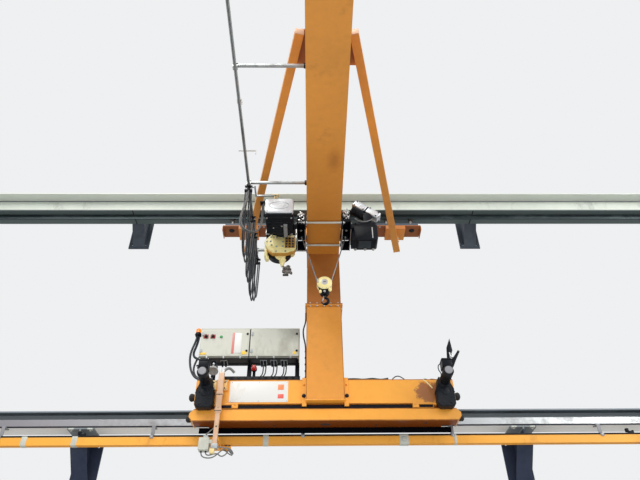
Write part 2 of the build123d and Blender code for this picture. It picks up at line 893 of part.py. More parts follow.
def festoon():
    """Track, arms and clamp beside the jib, the carriers under it and their cables."""
    x = crane_x - track_x
    half = track_size / 2
    track = block(x - half, x + half, -jib_tip, -track_near, track_z, track_z + track_size)
    for y in [-arm_root] + [-arm_first - i * arm_pitch for i in range(arm_count)]:
        track += block(x - half, crane_x - jib_web_half, y - arm_size / 2, y + arm_size / 2,
                       track_z + track_size, track_z + track_size + arm_size)
    clamp = Pos(0, 0, running_gap) * carrier(carrier_places[0])
    write("festoon_track", track + clamp)
    for i, y in enumerate(carrier_places[1:-1], 1):
        write(f"festoon_carrier_{i}", carrier(y))
    lead = carrier(carrier_places[-1])
    edge = x + carrier_width / 2
    low, high = carrier_top - carrier_plate, carrier_top
    bar = edge + tow_gap
    y0 = carrier_places[-1] - tow_size / 2
    y1 = -tow_y - tow_size / 2
    lead += block(edge, bar, y0, y0 + tow_size, low, high)
    lead += block(bar, bar + tow_size, y0, y1 + tow_size, low, high)
    post_x = crane_x - panel_left + panel_width / 3
    lead += block(bar, post_x, y1, y1 + tow_size, low, high)
    lead += block(post_x, post_x + tow_size, y1, y1 + tow_size, jib_bottom + panel_rise, high)
    write("festoon_tow", lead)


def festoon_loops():
    """Two cables in each loop between neighbouring carriers, and two on to the hoist."""
    for i, drop in enumerate(loop_drops):
        near = carrier_places[i] - cable_offset
        width = near - carrier_places[i + 1] - cable_offset
        route = loop_route + [(1 - a, d) for a, d in reversed(loop_route)]
        for name, side in (("left", -1), ("right", 1)):
            x = crane_x - track_x + side * cable_spread
            points = [(x, near - a * width, saddle_under - d * drop) for a, d in route]
            write(f"festoon_loop_{i + 1}_{name}", tube(points, cable_radius))
    for i in range(2):
        x = crane_x - track_x + i * hoist_cable_step
        points = [(x + dx, carrier_places[-1] + dy - i * hoist_cable_step, saddle_under + dz)
                  for dx, dy, dz in hoist_cable_route]
        write(f"hoist_cable_{i + 1}", tube(points, cable_radius))


def trolley():
    """Side plates, wheels and tie rods that hang the hoist from the jib's bottom flange."""
    y0, y1 = -trolley_y - trolley_half, -trolley_y + trolley_half
    low, high = jib_bottom - side_low, jib_bottom + side_high
    wheel_z = flange_top + running_gap + trolley_wheel_radius
    sides, wheels, arms = [], [], []
    for side in (-1, 1):
        inner, outer = crane_x + side * side_inner, crane_x + side * side_outer
        sides.append(block(inner, outer, y0, y1, low, high))
        for dy in (-trolley_wheel_y, trolley_wheel_y):
            y = dy - trolley_y
            near = inner - side * (side_gap + trolley_wheel_width)
            tread = rod((near, y, wheel_z), (near + side * trolley_wheel_width, y, wheel_z),
                        trolley_wheel_radius)
            wheels.append(tread + rod((near, y, wheel_z), (inner, y, wheel_z), axle_radius))
        arms.append(block(outer, outer + side * anchor_reach, -rope_y - anchor_half,
                          -rope_y + anchor_half, rope_top_z, rope_top_z + anchor_height))
    write("trolley_sides", *sides)
    write("trolley_wheels", *wheels)
    z = jib_bottom - rod_drop
    for y in (y0 + rod_inset, y1 - rod_inset):
        arms.append(rod((crane_x - side_inner, y, z), (crane_x + side_inner, y, z), rod_radius))
    left = crane_x - side_outer
    top = jib_bottom - hoist_arm_drop
    low = top - hoist_arm_height
    arms.append(block(crane_x - panel_left + panel_width - housing_inset, left,
                      y0, y0 + hoist_arm_width, low, top))
    gear_y = -gear_front + gear_depth / 2
    arms.append(block(crane_x - gear_left + gear_width, left, gear_y, gear_y + hoist_arm_width,
                      low, top))
    arms.append(block(crane_x + side_outer, crane_x + ballast_left, y0 + hoist_arm_width / 2,
                      y0 + 1.5 * hoist_arm_width, low, top))
    write("trolley_arms", *arms)


def hoist():
    """Panel, drum housing, drum and gear case on the left; ballast box and motor on the right."""
    x0 = crane_x - panel_left
    top = jib_bottom + panel_rise
    low = top - panel_height
    back = panel_depth - panel_front
    write("hoist_panel", block(x0, x0 + panel_width, -panel_front, back, low, top))
    housing = block(x0 + housing_inset, x0 + panel_width - housing_inset, back,
                    back + housing_depth, low, top)
    end_x, end_y, end_z = hoist_cable_route[-1]
    x = crane_x - track_x + end_x
    y = carrier_places[-1] + end_y
    z = saddle_under + end_z + running_gap
    housing += block(x - gland_size / 2, x0 + housing_inset, y - gland_size / 2,
                     y + gland_size / 2, z, z + gland_height)
    write("hoist_housing", housing)
    z = jib_bottom + drum_rise
    x = crane_x - drum_x
    write("rope_drum", rod((x, back + housing_depth, z), (x, -gear_front, z), drum_radius))
    g0 = crane_x - gear_left
    gear_top = jib_bottom + gear_rise
    write("hoist_gear_case", block(g0, g0 + gear_width, -gear_front, -gear_front + gear_depth,
                                   gear_top - gear_height, gear_top))
    b0 = crane_x + ballast_left
    b_top = jib_bottom - ballast_drop
    write("ballast_box", block(b0, b0 + ballast_width, -ballast_front, -ballast_front + ballast_depth,
                               b_top - ballast_height, b_top))
    x = crane_x + travel_motor_x
    y = -ballast_front + travel_motor_radius
    z = jib_bottom + travel_motor_rise
    dx = travel_motor_length / 2 * cos(radians(travel_motor_tilt))
    dz = travel_motor_length / 2 * sin(radians(travel_motor_tilt))
    motor = rod((x - dx, y, z + dz), (x + dx, y, z - dz), travel_motor_radius)
    half = travel_motor_radius
    motor += block(x - half, x + half, y - half, y + half, b_top, z)
    write("travel_motor", motor)


def hook_block():
    """The round sheave cover with its cheeks, the rope falls and the swivelling hook."""
    x, y = crane_x, -rope_y
    cover = rod((x, y - block_depth / 2, block_z), (x, y + block_depth / 2, block_z), sheave_radius)
    neck = block_z - sheave_radius / 2
    under = block_z - cheek_drop
    inset = side_thick
    cheeks = front_profile([(x - cheek_top, neck), (x + cheek_top, neck), (x + cheek_low, under),
                            (x - cheek_low, under)], y - block_depth / 2 + inset,
                           y + block_depth / 2 - inset)
    body = cover + cheeks
    write("hook_block", body)
    falls = []
    ceiling = block(x - 2 * rope_top_x, x + 2 * rope_top_x, y - block_depth, y + block_depth,
                    rope_top_z, rope_top_z + 2 * block_depth)
    for side in (-1, 1):
        low = Vector(x + side * rope_bottom_x, y, block_z)
        high = Vector(x + side * rope_top_x, y, rope_top_z)
        high += (high - low).normalized() * anchor_half
        for dy in (-rope_pair, rope_pair):
            shift = Vector(0, dy, 0)
            falls.append(rod(tuple(low + shift), tuple(high + shift), rope_radius) - ceiling - cover)
    write("hoist_ropes", *falls)
    top = under - running_gap
    shank_end = top - shank_length
    shank = rod((x, y, top), (x, y, shank_end), hook_wire)
    bowl = Plane(origin=(x, y, shank_end - hook_radius), x_dir=(1, 0, 0), z_dir=(0, -1, 0))
    arc = bowl * CenterArc(center=(0, 0), radius=hook_radius, start_angle=90, arc_size=-hook_sweep)
    ring = sweep(Plane(origin=arc @ 0, z_dir=arc % 0) * Circle(hook_wire), path=arc)
    write("hook", shank + ring)


def main():
    os.makedirs("parts", exist_ok=True)
    runway_beams()
    brackets()
    conductor()
    end_stops()
    lower_carriage()
    guide_rollers()
    crossbeam()
    load_wheels()
    buffers()
    post()
    jib()
    upper_carriage()
    braces()
    drives()
    cabinets()
    signals()
    lever_switch()
    collector()
    festoon()
    festoon_loops()
    trolley()
    hoist()
    hook_block()


main()
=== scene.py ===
"""The looks of a wall travelling crane: finishes, fittings and cables around its fixed frame.

X runs along the wall, +Y points into the wall and +Z is up. The bench takes millimetres, with X
counted from the crane's middle, or from the frame's origin for pieces of the runway. Patches,
hanging cables and the studio are in the frame's metres.
"""

import logging
import math
from collections.abc import Callable, Iterable, Sequence
from dataclasses import dataclass
from enum import Enum

import bmesh
import bpy
from mathutils import Matrix, Vector

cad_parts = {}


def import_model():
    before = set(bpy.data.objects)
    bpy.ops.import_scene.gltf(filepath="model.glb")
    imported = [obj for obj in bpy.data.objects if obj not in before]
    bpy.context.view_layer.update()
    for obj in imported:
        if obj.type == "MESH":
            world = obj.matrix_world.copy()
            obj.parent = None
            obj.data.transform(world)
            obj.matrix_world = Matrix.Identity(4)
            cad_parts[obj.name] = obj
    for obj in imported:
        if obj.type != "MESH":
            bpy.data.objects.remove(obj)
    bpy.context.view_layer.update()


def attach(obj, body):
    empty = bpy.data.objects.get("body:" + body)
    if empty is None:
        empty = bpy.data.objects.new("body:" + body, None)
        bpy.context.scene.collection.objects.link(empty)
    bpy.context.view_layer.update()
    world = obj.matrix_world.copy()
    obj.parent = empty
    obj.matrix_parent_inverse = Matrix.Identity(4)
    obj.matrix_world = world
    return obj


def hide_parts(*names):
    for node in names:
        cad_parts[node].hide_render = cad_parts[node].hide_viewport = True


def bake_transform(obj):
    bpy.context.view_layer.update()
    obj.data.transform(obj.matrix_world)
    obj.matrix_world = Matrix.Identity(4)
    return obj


log = logging.getLogger("wall_crane")

Point = tuple[float, float, float]
Colour = tuple[float, float, float]
Piece = bpy.types.Object

CRANE_X = 2.75
MM = 0.001


def linear(colour: str | Colour) -> Colour:
    """The linear colour of a hexadecimal display colour, or a linear colour as it is."""
    if not isinstance(colour, str):
        return colour
    parts = [int(colour[i:i + 2], 16) / 255 for i in (0, 2, 4)]
    return tuple(c / 12.92 if c <= 0.04045 else ((c + 0.055) / 1.055) ** 2.4 for c in parts)


def metres(point: Point) -> Vector:
    """A place in millimetres as a vector in metres."""
    return Vector(point) * MM


def moved(point: Point) -> Matrix:
    """A shift by millimetres."""
    return Matrix.Translation(metres(point))


class Axis(Enum):
    """A direction that a round piece or a profile lies along."""

    X = (0.0, math.pi / 2)
    Y = (math.pi / 2, 0.0)
    Z = (0.0, 0.0)
    LEFT = (0.0, -math.pi / 2)
    BACK = (-math.pi / 2, 0.0)
    DOWN = (math.pi, 0.0)

    @property
    def turn(self) -> Matrix:
        """The rotation of +Z onto this way: X is +X, Y is -Y, and the others say it."""
        rx, ry = self.value
        return Matrix.Rotation(ry, 4, "Y") @ Matrix.Rotation(rx, 4, "X")


X, Y, Z, LEFT, BACK, DOWN = Axis


class Grain(Enum):
    """What the fine relief of a finish looks like: scale, detail and roughness of its noise."""

    PEEL = (140.0, 2.0, 0.4)
    CAST = (210.0, 5.0, 0.65)
    BRUSHED = (420.0, 3.0, 0.6)
    MATT = (600.0, 2.0, 0.5)


@dataclass(frozen=True)
class Finish:
    """One surface finish and the wear on it.

    Attributes:
        colour: The clean colour.
        slot: The material slot that it belongs to; not used.
        rough: Roughness of the clean surface.
        metal: How metallic the clean surface is.
        coat: Weight of a clear coat.
        grain: The kind of fine relief.
        relief: Height of the fine relief in metres.
        grime: Share of the surface that carries grime, in its own grime_colour.
        streak: How far the grime runs down in streaks, from 0 to 1.
        wear: How strongly edges are worn, down to wear_colour.
        dust: How much dust lies on what faces up.
        fade: How far the clean colour varies.
        edge: Radius of the softened edges in metres.
        glow: Strength of light given off.
        clear: Transmission of a lens.
        shine: Strength of the mirror-like reflection.
    """

    colour: str
    slot: str = ""
    rough: float = 0.5
    metal: float = 0.0
    coat: float = 0.0
    grain: Grain = Grain.PEEL
    relief: float = 0.0002
    grime: float = 0.3
    grime_colour: str | Colour = (0.06, 0.045, 0.03)
    streak: float = 0.6
    wear: float = 0.4
    wear_colour: str | Colour = (0.22, 0.18, 0.14)
    dust: float = 0.3
    fade: float = 0.1
    edge: float = 0.004
    glow: float = 0.0
    clear: float = 0.0
    shine: float = 0.5


RUST = (0.17, 0.07, 0.03)
DUST = "968e80"
# Reach of a patch that covers the whole runway
WIDE = 200.0

FINISHES: dict[str, Finish] = {
    "crane_paint": Finish("faac3e", "crane_paint", 0.38, coat=0.25, grime=0.2, grime_colour="a86428",
        wear=0.5, wear_colour="78421e", dust=0.25, fade=0.16),
    # A darker copy of crane_paint: painted shade for the jib and the pieces near it.
    "crane_paint_darkened_for_shade": Finish("e3973a", "crane_paint", 0.42, coat=0.15, grime=0.14, grime_colour="b07030",
        streak=0.0, wear=0.5, wear_colour="7e4620", dust=0.25, fade=0.2),
    "runway_steel": Finish("546068", "runway_steel", 0.5, coat=0.05, grime=0.5, grime_colour="222628",
        wear=0.5, wear_colour=RUST, dust=0.5, fade=0.2),
    "upper_beam_paint": Finish("ced5cc", "runway_steel", 0.48, grime=0.16, grime_colour="686a68", wear=0.15,
        wear_colour=RUST, dust=0.5, fade=0.15),
    "bracket_paint": Finish("424c58", "bracket_paint", 0.55, grime=0.4, grime_colour="222222",
        wear=0.5, wear_colour=RUST, dust=0.45),
    # A darker copy of crane_paint: painted shade for the upper post and the upper carriage, which lie in
    # shadow.
    "crane_paint_painted_shade": Finish("b06b2a", "crane_paint", 0.5, grime=0.3, grime_colour="965624", streak=0.0,
        wear=0.4, wear_colour="7e4620", dust=0.25, fade=0.2),
    "guide_steel": Finish("babec0", "guide_steel", 0.3, metal=0.9, grain=Grain.BRUSHED, relief=0.0001,
        grime=0.35, grime_colour="46423c", streak=0.0, wear=0.2, wear_colour="dcdcd8", dust=0.15),
    "conductor_plastic": Finish("ffb442", "conductor_plastic", 0.45, grain=Grain.MATT, relief=0.00006,
        grime=0.2, grime_colour="aa6e32", wear=0.15, wear_colour="ffc460", dust=0.6),
    "galvanised": Finish("b0b6b8", "galvanised", 0.45, metal=0.55, grain=Grain.BRUSHED, relief=0.00008,
        grime=0.3, grime_colour="60605c", wear=0.2, wear_colour="ced0ce", fade=0.2),
    "zinc": Finish("bec0be", "galvanised", 0.35, metal=0.85, grain=Grain.BRUSHED, relief=0.00005,
        grime=0.25, grime_colour="5c4e38", wear=0.1, edge=0.001),
    "dark_iron": Finish("141920", "dark_iron", 0.44, grain=Grain.CAST, relief=0.0006, grime=0.2,
        grime_colour="222428", wear=0.45, wear_colour="5a5e62", dust=0.3, shine=0.25),
    # Near-black, for a sheet of painted shade.
    "shadow_sheet_black": Finish("06080e", "black_paint", 0.9, grime=0.0, wear=0.0, shine=0.05),
    "black_paint": Finish("0b1018", "black_paint", 0.4, grime=0.14, grime_colour="181c22", wear=0.4,
        wear_colour="606468", dust=0.2, shine=0.15),
    "bright_nuts": Finish("d6d8d8", "galvanised", 0.3, metal=0.6, grain=Grain.BRUSHED, relief=0.00004,
        grime=0.25, grime_colour="46423c", wear=0.1, edge=0.001),
    "horn_grey": Finish("babcba", "alloy", 0.5, grain=Grain.MATT, grime=0.25,
        grime_colour="4c4a46", wear=0.2),
    "cap_grey": Finish("96979c", "galvanised", 0.55, grain=Grain.MATT, grime=0.2,
        grime_colour="68686a", wear=0.1),
    "ear_paint": Finish("fae2a0", "gear_paint", 0.45, grime=0.25, grime_colour="be8c46",
        wear=0.3, wear_colour="825a32"),
    "wheel_steel": Finish("86827e", "wheel_steel", 0.36, metal=0.85, grain=Grain.BRUSHED, relief=0.0001,
        grime=0.4, grime_colour="342c24", wear=0.3, wear_colour="c8c6c2"),
    "rubber": Finish("222224", "rubber", 0.75, grain=Grain.MATT, grime=0.3, grime_colour="46423e",
        wear=0.15, wear_colour="505050", dust=0.6),
    "cabinet_paint": Finish("ced0c4", "cabinet_paint", 0.5, grime=0.32, grime_colour="8e8a7a", wear=0.25,
        wear_colour="78746a", dust=0.4, fade=0.06),
    "cabinet_shadow": Finish("303234", "black_paint", 0.6, grime=0.2, grime_colour="504e48"),
    "sign_sheet": Finish("ecece8", "sign_sheet", 0.35, grime=0.2,
        grime_colour="bab6aa", wear=0.1, fade=0.03),
    "hoist_cover": Finish("d8dde2", "hoist_cover", 0.36, metal=0.2, coat=0.2, grime=0.18,
        grime_colour="969692", wear=0.2, wear_colour="969696", fade=0.05),
    "gear_paint": Finish("fff0a8", "gear_paint", 0.4, coat=0.2, grime=0.26, grime_colour="ba8e42", wear=0.4,
        wear_colour="6e5432", dust=0.4),
    "gold_paint": Finish("ce983e", "gear_paint", 0.42, grime=0.4, grime_colour="684622"),
    "arm_paint": Finish("e4be9e", "arm_paint", 0.45, grime=0.35, grime_colour="b28868",
        wear=0.3, wear_colour="825a36"),
    "alloy": Finish("c0c4c8", "alloy", 0.42, metal=0.7, grain=Grain.CAST, relief=0.0003, grime=0.3,
        grime_colour="565450", wear=0.2, wear_colour="e1e2e4"),
    "slate_panel": Finish("28323a", "alloy", 0.5, grime=0.2, fade=0.05, shine=0.3),
    "rope_wire": Finish("8a8c8e", "rope_wire", 0.42, metal=0.5, grain=Grain.BRUSHED, grime=0.35,
        grime_colour="464440", wear=0.0, edge=0.0005),
    "cable_sheath": Finish("282e34", "cable_sheath", 0.5, grain=Grain.MATT, relief=0.0001, grime=0.3,
        grime_colour="484c4e", wear=0.0, dust=0.3, edge=0.0005),
    "worn_sheath": Finish("545454", "cable_sheath", 0.45, grain=Grain.MATT, relief=0.0001, grime=0.3,
        grime_colour="343638", wear=0.0, dust=0.3, edge=0.0005),
    "grey_sheath": Finish("808282", "cable_sheath", 0.5, grain=Grain.MATT, relief=0.0001, grime=0.3,
        grime_colour="545450", wear=0.0, edge=0.0005),
    "weld_bead": Finish("d88a2c", "crane_paint", 0.5, grain=Grain.CAST, relief=0.0012, grime=0.6,
        grime_colour="70421e", wear=0.3, edge=0.001),
    "amber_lens": Finish("ff8a14", "", 0.12, grain=Grain.MATT, grime=0.1, glow=0.5,
        clear=0.35, wear=0.0, edge=0.001),
    "red_lens": Finish("c41e18", "", 0.12, grain=Grain.MATT, grime=0.1, glow=0.25,
        clear=0.3, wear=0.0, edge=0.001),
    "orange_panel": Finish("fa9662", "sign_sheet", 0.4, grime=0.15, wear=0.0),
    "red_panel": Finish("962c24", "sign_sheet", 0.4, grime=0.15, wear=0.0),
    "coral_panel": Finish("f0685e", "sign_sheet", 0.4, grime=0.15, wear=0.0),
    "green_button": Finish("28a85c", "", 0.3, grain=Grain.MATT, grime=0.1, wear=0.0),
    "rose_panel": Finish("de8480", "", 0.4, grime=0.1, wear=0.0),
    "plain_plate": Finish("facc48", "sign_sheet", 0.4, grime=0.2, wear=0.1),
}


class Nodes:
    """Adds nodes to one tree and feeds their sockets."""

    def __init__(self, tree: bpy.types.NodeTree) -> None:
        """Takes the tree."""
        self.tree = tree

    def feed(self, socket: bpy.types.NodeSocket, value) -> None:
        """Links a socket to another, or sets its value."""
        if isinstance(value, bpy.types.NodeSocket):
            self.tree.links.new(value, socket)
        else:
            socket.default_value = value

    def add(self, kind: str, feeds: dict | None = None, **settings) -> bpy.types.Node:
        """A node of a kind, with its settings and what its inputs are fed with."""
        node = self.tree.nodes.new(kind if kind.startswith("NodeGroup") else f"ShaderNode{kind}")
        for name, value in settings.items():
            setattr(node, name, value)
        for name, value in (feeds or {}).items():
            self.feed(node.inputs[name], value)
        return node

    def math(self, operation: str, *values, clamp: bool = False) -> bpy.types.NodeSocket:
        """The output of a Math node that is fed by numbers and sockets."""
        node = self.add("Math", dict(enumerate(values)), operation=operation, use_clamp=clamp)
        return node.outputs[0]

    def mix(self, mask, below, above) -> bpy.types.NodeSocket:
        """Two colours mixed by a mask."""
        below, above = ((*c, 1.0) if isinstance(c, tuple) else c for c in (below, above))
        return self.add("Mix", {"Factor": mask, "A": below, "B": above}, data_type="RGBA").outputs["Result"]

    def noise(self, vector, scale, detail: float, rough: float) -> bpy.types.NodeSocket:
        """The value of a Noise Texture on a vector."""
        feeds = {"Vector": vector, "Scale": scale, "Detail": detail, "Roughness": rough}
        return self.add("TexNoise", feeds).outputs["Fac"]

    def place(self) -> bpy.types.NodeSocket:
        """The Object coordinates."""
        return self.add("TexCoord").outputs["Object"]


class EffectLibrary:
    """The shader node groups that several finishes share."""

    SOCKETS = {
        "grime": ({"Coverage": 0.3, "Scale": 2.0, "Streak": 0.5}, {"Mask": "Float"}),
        "edge_wear": ({"Radius": 0.004, "Amount": 0.4}, {"Mask": "Float", "Normal": "Vector"}),
        "settled_dust": ({"Amount": 0.3}, {"Mask": "Float"}),
        "tone": ({"Amount": 0.1}, {"Value": "Float"}),
        "grain": ({}, {"Height": "Float"}),
    }

    def __init__(self) -> None:
        """Starts with no group built."""
        self.groups: dict[str, bpy.types.NodeTree] = {}

    def get(self, name: str, grain: Grain | None = None) -> bpy.types.NodeTree:
        """The group of that name, built when it is first asked for.

        Args:
            name: A key of SOCKETS.
            grain: The kind of grain, for the group of that name.

        Returns:
            The shader node group.
        """
        key = f"{name}_{grain.name}" if grain else name
        if key not in self.groups:
            tree = bpy.data.node_groups.new(key, "ShaderNodeTree")
            inputs, outputs = self.SOCKETS[name]
            for label, value in inputs.items():
                tree.interface.new_socket(label, socket_type="NodeSocketFloat").default_value = value
            for label, kind in outputs.items():
                tree.interface.new_socket(label, in_out="OUTPUT", socket_type=f"NodeSocket{kind}")
            nodes = Nodes(tree)
            start, end = nodes.add("NodeGroupInput").outputs, nodes.add("NodeGroupOutput")
            made = self.grain(nodes, grain) if grain else getattr(self, name)(nodes, start)
            for label, value in zip(outputs, made):
                nodes.feed(end.inputs[label], value)
            self.groups[key] = tree
        return self.groups[key]

    @staticmethod
    def grime(n: Nodes, start) -> tuple:
        """Blotches and runs of dirt: Coverage, Scale and Streak give a Mask."""
        parts = n.add("SeparateXYZ", {0: n.place()}).outputs
        squeeze = n.math("MULTIPLY_ADD", start["Streak"], -0.88, 1.0)
        height = n.math("MULTIPLY", parts[2], squeeze)
        vector = n.add("CombineXYZ", {0: parts[0], 1: parts[1], 2: height}).outputs[0]
        broad = n.noise(vector, start["Scale"], 7.0, 0.62)
        fine = n.noise(vector, n.math("MULTIPLY", start["Scale"], 9.0), 6.0, 0.7)
        both = n.math("MULTIPLY_ADD", fine, 0.35, n.math("MULTIPLY", broad, 0.8))
        floor = n.math("MULTIPLY_ADD", start["Coverage"], -0.42, 0.72)
        return (n.math("MULTIPLY", n.math("SUBTRACT", both, floor), 4.5, clamp=True),)

    @staticmethod
    def edge_wear(n: Nodes, start) -> tuple:
        """Softened edges: Radius and Amount give a Mask of worn edges and the soft Normal."""
        soft = n.add("Bevel", {"Radius": start["Radius"]}, samples=4).outputs[0]
        flat = n.add("NewGeometry").outputs["Normal"]
        dot = n.add("VectorMath", {0: soft, 1: flat}, operation="DOT_PRODUCT").outputs["Value"]
        chips = n.math("MULTIPLY_ADD", n.noise(n.place(), 26.0, 8.0, 0.75), 5.0, -2.35, clamp=True)
        rim = n.math("MULTIPLY", n.math("SUBTRACT", 1.0, dot), 6.0, clamp=True)
        strong = n.math("MULTIPLY", n.math("MULTIPLY", rim, chips), start["Amount"])
        return n.math("MULTIPLY", strong, 2.0, clamp=True), soft

    @staticmethod
    def settled_dust(n: Nodes, start) -> tuple:
        """Dust on what faces up: Amount gives a Mask."""
        parts = n.add("SeparateXYZ", {0: n.add("NewGeometry").outputs["Normal"]}).outputs
        up = n.math("MULTIPLY_ADD", parts[2], 1.6, -0.7, clamp=True)
        patchy = n.math("MULTIPLY_ADD", n.noise(n.place(), 5.0, 6.0, 0.65), 1.2, 0.2)
        return (n.math("MULTIPLY", n.math("MULTIPLY", up, patchy), start["Amount"], clamp=True),)

    @staticmethod
    def tone(n: Nodes, start) -> tuple:
        """A slow drift of brightness: Amount gives a Value about 1."""
        slow, quick = n.noise(n.place(), 0.9, 3.0, 0.5), n.noise(n.place(), 14.0, 4.0, 0.6)
        centred = n.math("SUBTRACT", n.math("MULTIPLY_ADD", quick, 0.4, slow), 0.7)
        return (n.math("MULTIPLY_ADD", n.math("MULTIPLY", centred, start["Amount"]), 2.5, 1.0),)

    @staticmethod
    def grain(n: Nodes, kind: Grain) -> tuple:
        """The fine relief of one kind of grain, as a Height from 0 to 1."""
        vector = n.place()
        if kind is Grain.BRUSHED:
            vector = n.add("Mapping", {"Vector": vector, "Scale": (0.05, 1.0, 1.0)}).outputs[0]
        return (n.noise(vector, *kind.value),)


@dataclass
class Patch:
    """A place where paint has come off, lies in another tone, or shows painted light or shade.

    Attributes:
        centre: Its middle in the frame.
        reach: How far it spreads along each axis.
        colour: What shows there.
        ragged: How torn its rim is.
        gain: How sharp its rim is.
        strength: How much of the paint it hides.
    """

    centre: Point
    reach: Point
    colour: str | Colour = RUST
    ragged: float = 1.6
    gain: float = 5.0
    strength: float = 1.0

    def mask(self, n: Nodes) -> bpy.types.NodeSocket:
        """Its ragged mask."""
        feeds = {"Vector": n.place(), "Location": self.centre, "Scale": self.reach}
        near = n.add("Mapping", feeds, vector_type="TEXTURE").outputs[0]
        length = n.add("VectorMath", {0: near}, operation="LENGTH").outputs["Value"]
        far = n.math("MULTIPLY_ADD", n.noise(n.place(), 16.0, 8.0, 0.7), self.ragged, length)
        rim = self.gain * (0.8 + 0.5 * self.ragged)
        whole = n.math("MULTIPLY_ADD", far, -self.gain, rim, clamp=True)
        return n.math("MULTIPLY", whole, self.strength)


class Palette:
    """Makes and keeps one material for each finish."""

    def __init__(self) -> None:
        """Starts with no material."""
        self.effects = EffectLibrary()
        self.made: dict[str, bpy.types.Material] = {}

    def effect(self, n: Nodes, name: str, grain: Grain | None = None, **values: float):
        """The outputs of a shared effect in a material, with its own values."""
        return n.add("Group", values, node_tree=self.effects.get(name, grain)).outputs

    def material(self, name: str, patches: Sequence[Patch] = ()) -> bpy.types.Material:
        """The material of a finish.

        Args:
            name: A key of FINISHES.
            patches: Places where its paint differs or light or shade is painted, on one piece alone.

        Returns:
            The material, made once for each finish without patches.
        """
        if name in self.made and not patches:
            return self.made[name]
        finish = FINISHES[name]
        colour = linear(finish.colour)
        material = bpy.data.materials.new(f"{name}_patched" if patches else name)
        material.use_nodes = True
        n = Nodes(material.node_tree)
        tone = self.effect(n, "tone", Amount=finish.fade)["Value"]
        paint = n.add("VectorMath", {0: colour, "Scale": tone}, operation="SCALE").outputs[0]
        dirt = {"Coverage": finish.grime, "Scale": 1.7, "Streak": finish.streak}
        grime = self.effect(n, "grime", **dirt)["Mask"]
        paint = n.mix(n.math("MULTIPLY", grime, 0.75), paint, linear(finish.grime_colour))
        edge = self.effect(n, "edge_wear", Radius=finish.edge, Amount=finish.wear)
        paint = n.mix(edge["Mask"], paint, linear(finish.wear_colour))
        for patch in patches:
            paint = n.mix(patch.mask(n), paint, linear(patch.colour))
        if finish.dust:
            dust = self.effect(n, "settled_dust", Amount=finish.dust)["Mask"]
            paint = n.mix(dust, paint, linear(DUST))
        relief = self.effect(n, "grain", finish.grain)["Height"]
        bump = {"Strength": 0.6, "Distance": finish.relief, "Height": relief, "Normal": edge["Normal"]}
        feeds = {
            "Base Color": paint,
            "Roughness": n.math("MULTIPLY_ADD", grime, 0.3, finish.rough, clamp=True),
            "Coat Weight": finish.coat,
            "Specular IOR Level": finish.shine,
            "Transmission Weight": finish.clear,
            "Normal": n.add("Bump", bump).outputs["Normal"],
        }
        if finish.metal:
            feeds["Metallic"] = n.math("MULTIPLY_ADD", grime, -finish.metal * 0.6, finish.metal)
        if finish.glow:
            feeds |= {"Emission Color": (*colour, 1.0), "Emission Strength": finish.glow}
        for label, value in feeds.items():
            n.feed(n.tree.nodes["Principled BSDF"].inputs[label], value)
        if not patches:
            self.made[name] = material
        return material


